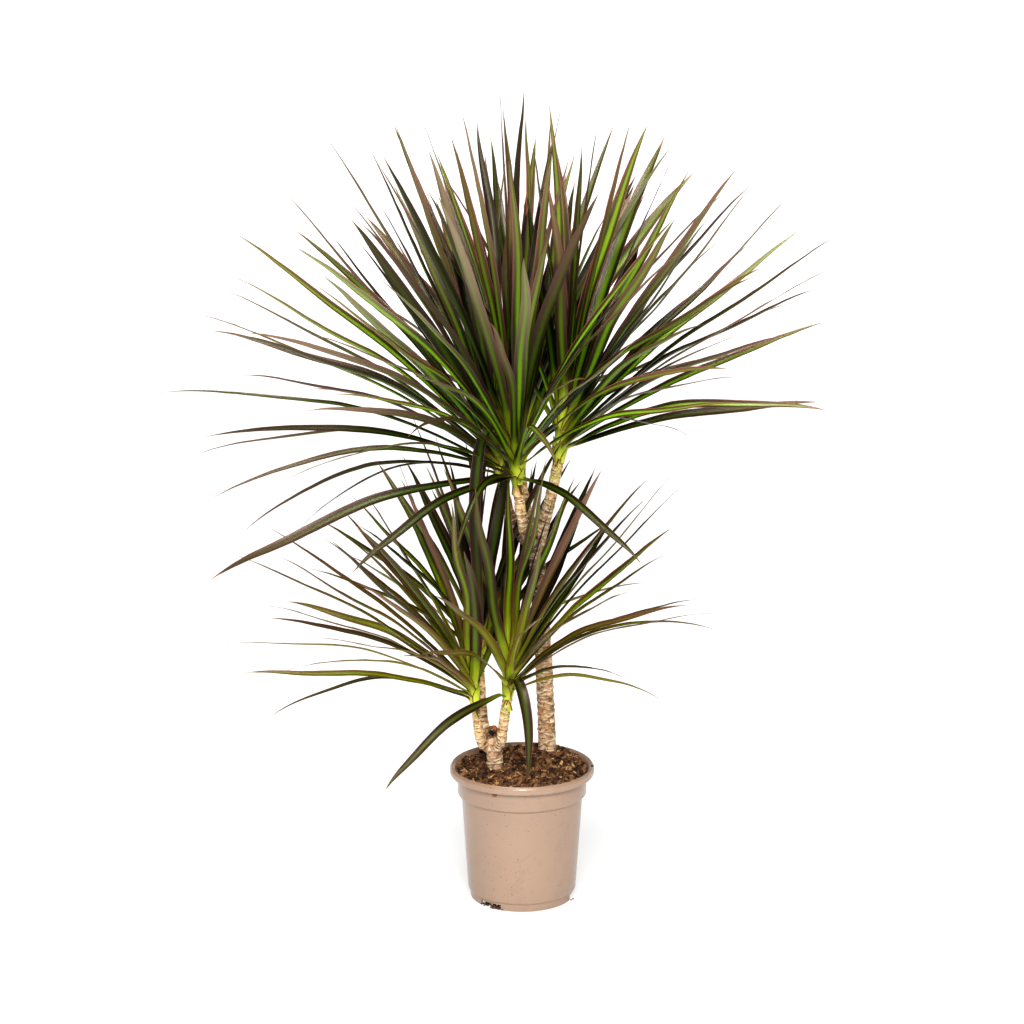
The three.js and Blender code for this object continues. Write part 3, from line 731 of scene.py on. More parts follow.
def leaf_line(head, leaf, seed, length, ahead):
    """The line a leaf follows: up its stem as a sheath, out through its neck, and its blade."""
    stem, out = stem_direction(head), outward(leaf.turn)
    rooted = float(dot(leaf.points[0] - head.base, stem))

    def on_stem(height):
        radius = head.radius * stem_swell(height / head.height) - SHEATH.sunk
        lying = radius + SHEATH.slope * (height - rooted + SHEATH.height)
        return head.base + stem * height + out * lying

    free_at = min(SHEATH.join / length, 0.2)
    low = on_stem(rooted - NECK.overlap)
    high, beyond = bezier(leaf.points, [free_at, free_at + 0.01])
    pull = NECK.pull * float(np.linalg.norm(high - low))
    bend = [low, low + stem * pull, high - unit(beyond - high) * pull, high]
    heights = np.linspace(rooted - SHEATH.height, rooted - NECK.overlap, SHEATH.points)
    sheath = [on_stem(height) for height in heights[:-1]]
    neck = bezier(bend, np.linspace(0, 1, NECK.points)[:-1])

    t = free_at + (1 - free_at) * np.linspace(0, 1, FINISHED_BLADE.points)
    sag = np.sin(math.pi * np.clip((t - SAG.start) / (1 - SAG.start), 0, 1)) ** 2
    sag = sag * mix(SAG.least, SAG.most, draw(seed, 25))
    thin = 1 - smooth((leaf.width - 8) / 5)
    wave = np.sin((t * SWING.turns + draw(seed, 23)) * math.tau) * t * (1 - t)
    wave = wave * (draw(seed, 24) - 0.5) * (SWING.least + SWING.thin * thin)
    flick = smooth((t - FLICK.start) / (1 - FLICK.start)) ** 2
    flick = flick * FLICK.most * (draw(seed, 26) - 0.5)
    turned = np.maximum(ahead - AHEAD.swings_above, 0) * t * t
    aside = wave + flick + AHEAD.aside * turned
    down = sag + AHEAD.down * turned * t
    blade = bezier(leaf.points, t) + across(leaf.turn) * (length * aside)[:, None]
    blade = blade - [0, 0, 1] * (length * down)[:, None]
    lowest, highest = in_plan(CAD_BOX)
    line = np.vstack([sheath, neck, blade])
    return np.clip(line, lowest + INSIDE_BOX, highest - INSIDE_BOX)


def half_widths(head, leaf, share, length, upright, ahead):
    """Half a leaf's width along it: full, then tapering, and as wide as its neck at first."""
    full = width_at(leaf.width, np.minimum(share, BLADE.widest_at)) / 2
    past = np.clip((share - BLADE.widest_at) / (1 - BLADE.widest_at), 0, 1)
    full = full * (1 - past ** mix(*FINISHED_BLADE.taper, smooth((leaf.width - 8) / 6)))
    neck = SHEATH.neck * min(1, leaf.width / 12)
    wider = np.maximum(neck - full[SHEATH.points - 1], 0)
    spread = FINISHED_BLADE.upper_width
    if head.number >= LOW_HEADS:
        level, thin, wide = FINISHED_BLADE.low_width
        spread = (level, mix(thin, wide, smooth((leaf.width - 7) / 3)))
    full = full * mix(*spread, upright) * (1 - AHEAD.narrower * ahead)
    return full + wider * (1 - smooth(share * length / NECK.fades_by))


def directions_of(points, turn):
    """Along a line its direction, and the nearly level one square to it and to a turn."""
    along = unit(np.gradient(points, axis=0))
    side = np.broadcast_to(across(turn), along.shape)
    return along, unit(side - along * dot(side, along)[:, None])


def rail_of(head, leaf, seed):
    """A leaf's line with what the sweep and the finish read from each of its points."""
    run = leaf.points[-1] - leaf.points[0]
    length = float(np.linalg.norm(run))
    lift = math.degrees(math.asin(run[2] / length))
    ahead = smooth((-run[1] / length - AHEAD.start) / AHEAD.span) if head.number == 0 else 0
    points = leaf_line(head, leaf, seed, length, ahead)
    steps = np.linalg.norm(np.diff(points, axis=0), axis=1)
    walked = np.concatenate([[0], np.cumsum(steps)])
    walk = walked - walked[SHEATH.points - 1] - 2
    share = np.clip(walk / walk[-1], 0, 1)
    upright = smooth((lift - 8) / 45)
    half = half_widths(head, leaf, share, length, upright, ahead)
    half = mix(half, SHEATH.wrap * head.radius, smooth(-walk / 9))
    wrap = mix(half / head.radius, 0.32, smooth((walk + 2) / 32))

    roll = np.minimum(1, 0.3 + 1.4 * share) * smooth(walk / 45)
    roll = roll * math.radians(leaf.roll) * mix(1, 0.65, upright)
    along, level = directions_of(points, leaf.turn)
    up = np.cross(along, level)
    side = level * np.cos(roll)[:, None] + up * np.sin(roll)[:, None]
    hanging = lift < HANGING.below
    return points, {
        "side": side, "up": np.cross(along, side), "wrap": wrap,
        "half": np.maximum(half, FINISHED_BLADE.thinnest) * MM,
        "fold": FINISHED_BLADE.fold * smooth(walk / 30), "along": share, "reach": walk,
        # leaf: a random share for each leaf, raised towards 1 for the inner tuft; the finish paints
        # high values darker, as shade in the heart of a head, and the lowest ones paler, as sheen.
        "leaf": HANGING.leaf if hanging else mix(0.8 * draw(seed, 21), 1, 0.8 * leaf.inner),
        "tone": HANGING.tone if hanging else draw(seed, 22), "age": smooth((70 - lift) / 70),
        "ruddy": (head.number >= LOW_HEADS) * (HANGING.ruddy if hanging else 1),
    }


def scale_of(head, i, count):
    """The line of an old leaf's base, a short pointed scale that clasps the foot of its stem."""
    turn = head.seed * 31 + i * GOLDEN_TURN
    share = np.linspace(0, 1, SCALE.points)
    height = head.height * (SCALE.highest * i / count + SCALE.lowest) + SCALE.height * share
    lying = head.radius * stem_swell(height / head.height) + SCALE.off + SCALE.opens * share ** 2
    points = head.base + stem_direction(head) * height[:, None] + outward(turn) * lying[:, None]
    half = np.maximum(lying * SCALE.wrap * (1 - share ** 2.4), 0.3)
    along, side = directions_of(points, turn)
    return points, {
        "side": side, "up": np.cross(along, side), "half": half * MM, "wrap": half / lying,
        "fold": 0, "along": share * 0.97, "reach": share * 34,
        "leaf": 0, "tone": 0.9, "age": draw(turn, 4) * 0.6, "ruddy": 0,
    }


def blade_recipe():
    """Sweeps each rail into a leaf: a curled, folded strip that thins to its edges."""
    tree = Recipe(
        "Blade", Geometry="Geometry", Sides="Int", Thickness="Float", Ripple="Float",
        Material="Material")
    sides = tree.given("Sides")
    place = tree.add("GeometryNodeInputPosition")
    rails = tree.keep(tree.given("Geometry"), "centre", place, "FLOAT_VECTOR")
    spine = tree.add("GeometryNodeMeshToCurve", {"Mesh": rails})
    ring = tree.add(
        "GeometryNodeCurvePrimitiveCircle", {"Resolution": sides, "Radius": 0.001}, "Curve",
        mode="RADIUS")
    strip = tree.add(
        "GeometryNodeCurveToMesh", {"Curve": spine, "Profile Curve": ring, "Fill Caps": True})
    index = tree.add("GeometryNodeInputIndex")
    turn = index.math("MODULO", sides) / sides * math.tau
    span, upper = turn.math("COSINE"), turn.math("SINE")
    half, wrap, along = tree.named("half"), tree.named("wrap"), tree.named("along")
    side, up = tree.named("side", "FLOAT_VECTOR"), tree.named("up", "FLOAT_VECTOR")
    centre = tree.named("centre", "FLOAT_VECTOR")
    curl = wrap * span
    level, lift = curl.math("SINE"), curl.math("COSINE")
    radius = half / wrap
    crease = (span * span + 0.02).math("SQRT") - 0.14
    wave = tree.noise(centre, 42.0, 1.0) - 0.5
    lifted = (1.0 - lift) * radius + crease * half * tree.named("fold")
    lifted = lifted + wave * span * span * tree.given("Ripple")
    arc = side.scaled(level * radius) + up.scaled(lifted)
    facing = up.scaled(lift) - side.scaled(level)
    thin = (1.25 - span * span) * (1.0 - along * 0.62) * tree.given("Thickness")
    spot = centre + arc + facing.scaled(upper * thin)
    shaped = tree.add("GeometryNodeSetPosition", {"Geometry": strip, "Position": spot})
    shaped = tree.keep(tree.keep(shaped, "across", span), "upper", upper)
    shaped = tree.add("GeometryNodeSetShadeSmooth", {"Geometry": shaped})
    return tree.end(shaped, tree.given("Material"))


# The colours of a leaf's upper and lower face: each near its stem and at its far end, the near one
# darker, partly the leaf's own colour and partly painted shade in the heart of a head; what turns
# its brown ruddy on the low heads, and how strongly its stripe and its thin edge show.
LEAF_FACES = (
    Plan(green=((14, 42, 4), (50, 62, 30)), brown=((40, 27, 10), (92, 64, 46)),
         ruddy=(0.6, (104, 64, 48)), stripe=1.0, edge=(0.6, (184, 116, 100))),
    Plan(green=((22, 46, 6), (76, 82, 46)), brown=((50, 36, 16), (134, 102, 84)),
         ruddy=(0.5, (134, 90, 76)), stripe=0.75, edge=(0.5, (110, 62, 58))),
)


def leaf_finish():
    tree = Finish("Leaf")
    span, upper, along, reach, leaf, tone, age, ruddy = map(tree.stored, LEAF_VALUES)
    place = tree.place()
    off = abs(span)
    streak_at = tree.vector(span * 9.0, along * 1.6, leaf * 40.0)
    streak = tree.noise(streak_at, 1.0, 3.0)
    patch = tree.noise(place, 38.0, 2.0)
    wander = off + (streak - 0.5) * 0.24 + (patch - 0.5) * 0.16

    # far runs from 0 near the stem to 1 out along the blade; the darker near colours are partly the
    # leaf's own and partly painted shade in a head's heart.
    far = reach.step(80.0, 320.0)
    low = tree.part(place, "Z").step(0.42, 0.34)
    maroon = tone.step(0.5, 0.95) * 0.7 + age * 0.25 + far * 0.12 + ruddy * 0.34
    maroon = maroon.math("MINIMUM", 1.0)
    stripe = wander.step(0.62, 0.08) * (1.0 - maroon * 0.86) * (1.0 - far * (0.3 + low * 0.4))
    margin = (wander + maroon * 0.3 + far * 0.16).step(0.6, 1.0)
    edge = off.step(0.84, 0.96)
    lime = tree.blend(far, (136, 182, 10), (138, 152, 62))
    rim = tree.blend(far, (46, 28, 18), (104, 76, 64))
    rims = (rim, tree.blend(0.1 + far * 0.25, rim, (150, 116, 108)))
    faces = []
    for face, rim in zip(LEAF_FACES, rims):
        brown = tree.blend(far, *face.brown)
        brown = tree.blend(ruddy * face.ruddy[0], brown, face.ruddy[1])
        faces.append(tree.paint(
            tree.blend(far, *face.green), (maroon, brown), (margin, rim),
            (stripe * face.stripe, lime), (edge * face.edge[0], face.edge[1])))
    # Painted light: low down, leaves are lightened yellow-green near their stems, less where they
    # are maroon, as light falling on the low heads.
    painted_light = low * (1.0 - far) * (1.0 - maroon * 0.75) * leaf.step(0.7, 0.5)
    # Partly a random darker tone of some leaves and partly painted shade: the inner tuft's leaves,
    # whose `leaf` values are near 1, are darkened towards near black as shade in a head's heart,
    # less low down.
    shade = leaf.step(0.3, 1.0) * 0.9 * (1.0 - low * 0.4)
    # Painted sheen: leaves with the lowest `leaf` values turn paler grey-green out along the blade,
    # as a glossy highlight.
    painted_sheen = leaf.step(0.16, 0.0) * far * 0.35
    young = (reach + (patch - 0.5) * 30.0 + age * 36.0).step(72.0, 12.0)
    dry = (along + (patch - 0.5) * 0.05).step(0.955, 0.995) * leaf.step(0.45, 0.6)
    lime = tree.paint(
        tree.blend(streak.step(0.3, 0.75), (150, 176, 18), (216, 220, 84)),
        (reach.step(30.0, 2.0), (190, 204, 70)), (off.step(0.7, 0.96), (120, 50, 52)))
    colour = tree.paint(
        tree.blend(upper.step(-0.15, 0.15), faces[1], faces[0]),
        (painted_light * 0.45, (168, 150, 34)), (shade, (7, 11, 3)), (painted_sheen, (150, 160, 128)),
        (young * (1.0 - leaf.step(0.5, 1.0) * 0.5), lime), (dry, (150, 102, 62)))

    veins = (span * 46.0 + (streak - 0.5) * 6.0).math("SINE")
    normal = tree.bump(veins * 0.15 + patch, 0.0004, 0.25)
    roughness = 0.25 + tone * 0.14 + (streak - 0.5) * 0.2 + dry * 0.3
    return tree.surface(
        Base_Color=colour, Roughness=roughness, Normal=normal, Specular_IOR_Level=0.38,
        Specular_Tint=(1.0, 0.94, 0.78))


def make_leaves(settings):
    place_leaves()
    recipe, finish = blade_recipe(), leaf_finish()
    for head in HEADS:
        rails = [rail_of(head, leaf, head.seed * 100 + i) for i, leaf in enumerate(head.leaves)]
        rails += [scale_of(head, i, settings.scales) for i in range(settings.scales)]
        points, edges = joined(
            (rail, [(k, k + 1) for k in range(len(rail) - 1)]) for rail, values in rails)
        stored = {
            key: np.concatenate([
                values[key] if np.ndim(values[key]) else np.full(len(rail), values[key])
                for rail, values in rails
            ])
            for key in rails[0][1]
        }
        name = head.name.replace("leaves", "foliage")
        piece = new_object(name, points, edges, stored=stored)
        follow(
            piece, recipe, Sides=settings.sides, Thickness=settings.thickness,
            Ripple=settings.ripple, Material=finish)
        belongs(piece, "leaf", head.name)
        make_stem(head, finish)


def make_stem(head, finish):
    """The young stem inside a head's sheaths."""
    shares = np.linspace(0, 1, 16)
    centres = head.base + stem_direction(head) * head.height * shares[:, None]
    radii = head.radius * stem_swell(shares) - 1.8 - 1.2 * shares ** 4
    points, faces = tube(centres, radii, 24)
    stored = dict.fromkeys(LEAF_VALUES, np.zeros(len(points)))
    stored["upper"] = np.ones(len(points))
    piece = new_object(head.name.replace("leaves", "stem"), points, (), faces, stored, finish)
    belongs(smoothed(piece), "leaf")


def tube(centres, radii, sides):
    """A closed tube through centres, with its rings square to the line and flat ends."""
    centres = np.asarray(centres, float)
    along = unit(np.gradient(centres, axis=0))
    first = unit(np.cross([1.0, 0.0, 0.0], along))
    second = np.cross(along, first)
    turn = np.linspace(0, math.tau, sides, endpoint=False)
    ring = first[:, None] * np.cos(turn)[:, None] + second[:, None] * np.sin(turn)[:, None]
    points = centres[:, None] + ring * np.asarray(radii, float)[:, None, None]
    last = (len(centres) - 1) * sides
    faces = grid_faces(len(centres), sides)
    faces += [tuple(reversed(range(sides))), tuple(range(last, last + sides))]
    return points.reshape(-1, 3), faces


# ------------------------------------------------------------------ the pot

FLOOR_TOP = POT.foot_height + POT.floor
BAND_TOP = POT.height - POT.lip_height
BAND_FOOT = BAND_TOP - POT.band_height
LIP_INNER = POT.lip_radius - POT.lip_width


def inner_radius(z):
    """Radius of the pot's inner wall at a height."""
    heights = [FLOOR_TOP, BAND_FOOT - POT.rounding, BAND_FOOT + POT.rounding, BAND_TOP, POT.height]
    walls = [r - POT.wall for r in (POT.body_bottom, POT.body_top, *[POT.band_radius] * 2)]
    return np.interp(z, heights, [*walls, LIP_INNER])


def pot_section():
    """The pot's section: up the outside from the middle of its floor, and down the inside."""
    soft, half, wall = POT.rounding, POT.rounding / 2, POT.wall
    foot, base, low, high = POT.foot_radius, POT.foot_height, POT.body_bottom, POT.body_top
    band, lip, top = POT.band_radius, POT.lip_radius, POT.height
    return [
        (0, base), (foot - POT.foot_wall, base), (foot - POT.foot_wall, 0), (foot, 0),
        (foot, base - half), (low - half, base), (low, base + soft), (high, BAND_FOOT - soft),
        (band, BAND_FOOT + half), (band, BAND_TOP), (lip - half, BAND_TOP),
        (lip, BAND_TOP + soft), (lip, top - 2 * soft), (lip - soft, top - half),
        (lip - POT.lip_width / 2, top), (LIP_INNER, top - soft), (band - wall, BAND_TOP),
        (band - wall, BAND_FOOT + half), (high - wall, BAND_FOOT - soft), (low - wall, FLOOR_TOP),
        (0, FLOOR_TOP),
    ]


def rounded(section, reach):
    """The section with each corner cut into an arc, and guard points that keep flats flat."""
    section = [np.array(p, float) for p in section]
    path = [section[0]]
    for before, corner, after in zip(section, section[1:], section[2:]):
        back, forth = before - corner, after - corner
        cut = min(reach, 0.3 * np.linalg.norm(back), 0.3 * np.linalg.norm(forth))
        a, b = corner + unit(back) * cut, corner + unit(forth) * cut
        path.append(corner + unit(back) * cut * 1.3)
        for t in np.linspace(0, 1, 5):
            path.append(mix(mix(a, corner, t), mix(corner, b, t), t))
        path.append(corner + unit(forth) * cut * 1.3)
    return [*path, section[-1]]


def lathe(section, sides):
    """A closed solid of revolution; the section starts and ends on the axis."""
    turn = np.linspace(0, math.tau, sides, endpoint=False)
    circle = np.column_stack([np.cos(turn), np.sin(turn)])
    rings = [np.column_stack([circle * r, np.full(sides, z)]) for r, z in section[1:-1]]
    points = np.vstack([*rings, [[0, 0, section[0][1]], [0, 0, section[-1][1]]]])
    count = len(rings) * sides
    faces = grid_faces(len(rings), sides)
    for k in range(sides):
        n = (k + 1) % sides
        faces += [(count, n, k), (count + 1, count - sides + k, count - sides + n)]
    return points, faces


def pot_cutter():
    """Boxes for the notches in the foot ring and rods for the drain holes."""
    parts = []
    for i in range(NOTCH.count):
        turn = NOTCH.first_turn + 360 / NOTCH.count * i
        out, level = outward(turn), across(turn)
        square = np.array([
            out * (POT.foot_radius + a * NOTCH.depth / 2) + level * b * NOTCH.width / 2
            for a, b in ((-1, -1), (1, -1), (1, 1), (-1, 1))
        ])
        box = np.vstack([square - [0, 0, 5], square + [0, 0, NOTCH.height]])
        parts.append((box, [(3, 2, 1, 0), (4, 5, 6, 7), *grid_faces(2, 4)]))
    rod = [[0, 0, POT.foot_height + DRAIN.depth / 2 * k] for k in (-1, 0, 1)]
    for i in range(DRAIN.count):
        spot = outward(DRAIN.first_turn + 360 / DRAIN.count * i) * DRAIN.from_axis
        parts.append(tube(spot + rod, [DRAIN.radius] * 3, 32))
    points, faces = joined(parts)
    return new_object("cutter", points, (), faces)


SCRATCH = Plan(centre=(0.022, 0.0, 0.088), radius=0.024)


def plastic_finish():
    tree = Finish("Pot plastic")
    place = tree.place()
    turned = tree.noise(place, 9.0, 3.0)
    mottle = tree.noise(place, 60.0, 4.0, 0.6)
    speck = tree.noise(place, 480.0, 1.0).step(0.725, 0.755)
    sides = tree.part(place, "X")
    height = sides["Z"]
    swing = ((place - SCRATCH.centre) * (1.0, 0.0, 1.0)).length()
    scratch = abs(swing - SCRATCH.radius).step(0.0004, 0.0001) * sides["Y"].step(0.0, -0.04)
    scratch = scratch * sides.step(0.018, 0.028) * height.step(0.081, 0.07)
    dust = height.step(0.150, 0.1615) * mottle.step(0.42, 0.62) * 0.45
    # Painted shadow: thin darker lines just under the lip's overhang and under the band's step,
    # where their shadows fall.
    painted_step_shadow = height.step(0.1525, 0.1515) * height.step(0.1485, 0.151)
    painted_step_shadow = painted_step_shadow + height.step(0.1290, 0.1282) * height.step(0.1262, 0.1270)
    colour = tree.paint(
        tree.blend(turned, (151, 128, 111), (163, 139, 120)),
        (mottle.step(0.5, 0.8) * 0.3, (138, 114, 97)), (dust, (150, 118, 92)),
        (speck * 0.8, (92, 62, 44)), (scratch * 0.35, (96, 70, 54)), (painted_step_shadow * 0.32, (96, 70, 54)))
    normal = tree.bump(turned, 0.0004, 0.15)
    roughness = 0.3 + (turned - 0.5) * 0.1 + dust * 0.5
    return tree.surface(
        Base_Color=colour, Roughness=roughness, Normal=normal, Coat_Weight=0.3,
        Coat_Roughness=0.14)


def make_pot(settings):
    points, faces = lathe(rounded(pot_section(), settings.rounding / MM), settings.sides)
    pot = new_object("grower_pot", points, (), faces, None, plastic_finish())
    cutter = pot_cutter()
    cut = pot.modifiers.new("Notches and drains", "BOOLEAN")
    cut.operation, cut.solver, cut.object = "DIFFERENCE", "EXACT", cutter
    baked(pot)
    bpy.data.objects.remove(cutter)
    belongs(smoothed(pot, 40), "pot_plastic", "pot")


# ------------------------------------------------------------------ the peat


def soil_height(x, y):
    """Height of the peat's uneven surface, heaped up round the tall cane."""
    lumps = np.sin(x * 0.145 + 1.3) * np.cos(y * 0.117 - 0.6)
    lumps = lumps + 0.55 * np.sin(x * 0.31 - y * 0.26 + 2.1)
    heap = np.exp(-((x - HEAP.x) ** 2 + (y - HEAP.y) ** 2) / HEAP.spread ** 2)
    return SOIL.level + SOIL.lump * lumps + HEAP.height * heap


def scatter_recipe():
    """Strews lumps of one shape over the upward faces of a bed."""
    tree = Recipe(
        "Scatter", Geometry="Geometry", Density="Float", Seed="Int", Shape="Vector",
        Smallest="Float", Largest="Float", Sunk="Float", Tilt="Float", Material="Material")
    seed = tree.given("Seed")
    bed = {
        "Mesh": tree.given("Geometry"), "Selection": tree.named("open") > 0.5,
        "Density": tree.given("Density"), "Seed": seed,
    }
    spots = tree.add(
        "GeometryNodeDistributePointsOnFaces", bed, "Points", distribute_method="RANDOM")
    lump = tree.add("GeometryNodeMeshIcoSphere", {"Radius": 1.0, "Subdivisions": 1}, "Mesh")
    tilt = tree.given("Tilt")
    turned = tree.chance(
        tree.vector(tilt * -1.0, tilt * -1.0, 0.0), tree.vector(tilt, tilt, 6.28), seed,
        "FLOAT_VECTOR")
    grown = tree.chance(tree.given("Smallest"), tree.given("Largest"), seed + 1.0)
    uneven = tree.chance((0.7, 0.7, 0.7), (1.3, 1.3, 1.3), seed + 2.0, "FLOAT_VECTOR")
    scale = (tree.given("Shape") * uneven).scaled(grown)
    strewn = tree.add(
        "GeometryNodeInstanceOnPoints",
        {"Points": spots, "Instance": lump, "Rotation": turned, "Scale": scale})
    tone = tree.chance(0.0, 1.0, seed + 3.0)
    strewn = tree.keep(strewn, "tone", tone, "FLOAT", "INSTANCE")
    real = tree.add("GeometryNodeRealizeInstances", {"Geometry": strewn})
    place = tree.add("GeometryNodeInputPosition")
    dent = tree.noise(place, 900.0, 0.0)["Color"] - (0.5, 0.5, 0.5)
    shift = dent.scaled(tree.given("Smallest") * 1.6) - tree.vector(0.0, 0.0, tree.given("Sunk"))
    rough = tree.add("GeometryNodeSetPosition", {"Geometry": real, "Offset": shift})
    return tree.end(rough, tree.given("Material"))


def peat_finish(name, dark, light):
    tree = Finish(name)
    place, tone = tree.place(), tree.stored("tone")
    coarse, fine = tree.noise(place, 140.0, 4.0, 0.6), tree.noise(place, 700.0, 3.0, 0.6)
    share = coarse.step(0.35, 0.7) * 0.5 + fine.step(0.35, 0.7) * 0.3 + (tone - 0.5) * 0.8
    share = share.math("MAXIMUM", 0.0).math("MINIMUM", 1.0)
    colour = tree.blend(share, dark, light)
    normal = tree.bump(fine + coarse, 0.0012, 0.6)
    return tree.surface(Base_Color=colour, Roughness=0.9, Normal=normal)


# Small level patches where peat has spilt: in the front notch, on the lip and by the foot. The
# dense dark patch in the front notch is spilt peat and also painted shade: it darkens the inside of
# the foot ring, which the notch looks into. Each is its turn and radius, its height, and how far it
# reaches to both sides and in depth.
SPILT_AND_NOTCH_SHADE = (
    (-128, 52, 1.3, 15, 9), (-119, 58, 1.3, 9, 4), (-4, 82.4, 161.9, 3, 1.5),
    (-21, 63.5, 1.3, 3, 1),
)


def spilt_and_shade_bed():
    corners = ((-1, 1), (-1, -1), (1, -1), (1, 1))
    return joined(
        ([outward(turn) * (radius + b * deep) + across(turn) * a * reach + [0, 0, z]
          for a, b in corners], [(0, 1, 2, 3)])
        for turn, radius, z, reach, deep in SPILT_AND_NOTCH_SHADE)


PEAT = Plan(
    sides=220, rings=84, off_wall=0.3, lower=0.8, highest_edge=158.5, dark=(60, 40, 27),
    light=(158, 118, 82),
)
# Each kind's density, shape, smallest and largest size, sinking, tilt, and dark and light colour.
STREWN = {
    "peat_crumbs": (44000, (1.6, 1, 0.7), 0.001, 0.0042, 0.2, 1.2, PEAT.dark, (172, 128, 88)),
    "peat_chips": (
        17000, (3.4, 1, 0.35), 0.0009, 0.0027, 0.2, 0.5, (104, 70, 44), (238, 198, 142)),
    "peat_fibres": (
        5500, (9, 1, 0.6), 0.0006, 0.0011, 0.2, 0.4, (184, 140, 90), (248, 220, 170)),
    "peat_grains": (
        1500, (1, 1, 1), 0.0006, 0.0013, 0.2, 1.2, (160, 140, 112), (226, 214, 190)),
    # The spilt crumbs; the front notch's dense patch among them is also painted shade inside the
    # foot ring.
    "peat_spilt": (
        280000, (1.5, 1, 0.8), 0.0004, 0.0012, 0.0, 0.35, (52, 36, 24), (140, 104, 70)),
}


def peat_body():
    """The peat's points and faces, with 1 for each point of its uneven surface."""
    edge = float(inner_radius(SOIL.level)) - PEAT.off_wall - 0.05
    bottom = FLOOR_TOP + PEAT.off_wall
    heights = (bottom, BAND_FOOT - 2, BAND_FOOT + 2, BAND_TOP)
    wall = [(inner_radius(z) - PEAT.off_wall, z) for z in heights]
    top = [(edge * share, 0) for share in np.linspace(1, 0, PEAT.rings + 1)]
    points, faces = lathe([(0, bottom), *wall, *top], PEAT.sides)
    surface = np.arange(len(points)) >= len(wall) * PEAT.sides
    surface[-2] = False
    flat = points[surface].copy()
    height = soil_height(flat[:, 0], flat[:, 1]) - PEAT.lower
    height += 2.3 * cloud(flat, 9, 3) + 1.1 * cloud(flat, 4, 7) + 0.5 * cloud(flat, 1.9, 11)
    rim = np.linalg.norm(flat[:, :2], axis=1) / edge
    held = mix(height, PEAT.highest_edge, smooth((rim - 0.97) / 0.03))
    points[surface, 2] = np.minimum(height, held)
    return points, faces, surface.astype(float)


def make_peat(settings):
    points, faces, surface = peat_body()
    finish = peat_finish("Peat", PEAT.dark, PEAT.light)
    stored = {"open": surface, "tone": np.full(len(points), 0.35)}
    bed = new_object("peat_bed", points, (), faces, stored, finish)
    belongs(smoothed(bed), "peat", "soil")
    recipe = scatter_recipe()
    for seed, (name, kind) in enumerate(STREWN.items(), settings.seed + 1):
        density, shape, least, most, sunk, tilt, dark, light = kind
        if name == "peat_spilt":
            points, faces = spilt_and_shade_bed()
            surface = np.ones(len(points))
        strewn = new_object(name, points, (), faces, {"open": surface})
        follow(
            strewn, recipe, Density=density * settings.density, Seed=seed, Shape=shape,
            Smallest=least, Largest=most, Sunk=least * sunk, Tilt=tilt,
            Material=peat_finish(name, dark, light))
        belongs(smoothed(strewn, 50), "peat")


# ------------------------------------------------------------------ the canes


def catmull(points, per_span=60):
    """Evenly spaced points on the centripetal Catmull-Rom curve through the given ones."""
    points = [np.array(p, float) for p in points]
    points = [2 * points[0] - points[1], *points, 2 * points[-1] - points[-2]]
    path = []
    for a, b, c, d in zip(points, points[1:], points[2:], points[3:]):
        first, middle, last = (math.sqrt(np.linalg.norm(gap)) for gap in (b - a, c - b, d - c))
        out = ((b - a) / first - (c - a) / (first + middle) + (c - b) / middle) * middle
        home = ((c - b) / middle - (d - b) / (middle + last) + (d - c) / last) * middle
        t = np.linspace(0, 1, per_span, endpoint=False)[:, None]
        bow = (2 * b - 2 * c + out + home) * t ** 3 + (-3 * b + 3 * c - 2 * out - home) * t ** 2
        path.append(b + out * t + bow)
    path = np.vstack([*path, points[-2]])
    walked = np.concatenate([[0], np.cumsum(np.linalg.norm(np.diff(path, axis=0), axis=1))])
    even = np.linspace(0, walked[-1], max(8, round(walked[-1] / 1.5)))
    return np.column_stack([np.interp(even, walked, path[:, k]) for k in range(3)]), even


CANE, BRANCH, STUB = range(3)


def strand(points, radii, step, kind):
    """A cane, a branch or a cut end: its line and radii, and how far apart its scars are."""
    centres, walked = catmull(points)
    radii = mix(*radii, walked / walked[-1])
    return Plan(centres=centres, walked=walked, radii=radii, step=step, kind=kind)


def nearest(points, strands):
    """For each point its strand, the place along it and before its end, its radius and angle."""
    best = np.full(len(points), np.inf)
    found = np.zeros((5, len(points)))
    for number, line in enumerate(strands):
        for start in range(0, len(points), 4000):
            part = slice(start, start + 4000)
            gap = points[part, None] - line.centres[None]
            apart = np.linalg.norm(gap, axis=2)
            k = apart.argmin(1)
            row = np.arange(len(k))
            score = apart[row, k] - line.radii[k]
            better = score < best[part]
            spots = start + row[better]
            k, away = k[better], gap[row, k][better]
            walked = line.walked[k]
            best[spots] = score[better]
            found[0, spots] = number
            found[1:, spots] = (
                walked, line.walked[-1] - walked, line.radii[k],
                np.arctan2(away[:, 1], away[:, 0]))
    return found


def scars(walked, angle, step):
    """How far each place is from the nearest leaf scar's V-shaped line, and on which side."""
    place = walked / step
    best = np.full(len(place), 9.0)
    for shift in (-2, -1, 0, 1):
        row = np.floor(place) + shift
        line = row + 0.75 * np.abs(np.sin((angle - 2.4 * row) / 2)) + 0.16 * np.sin(row * 5.1)
        off = place - line
        best = np.where(np.abs(off) < np.abs(best), off, best)
    return best * step


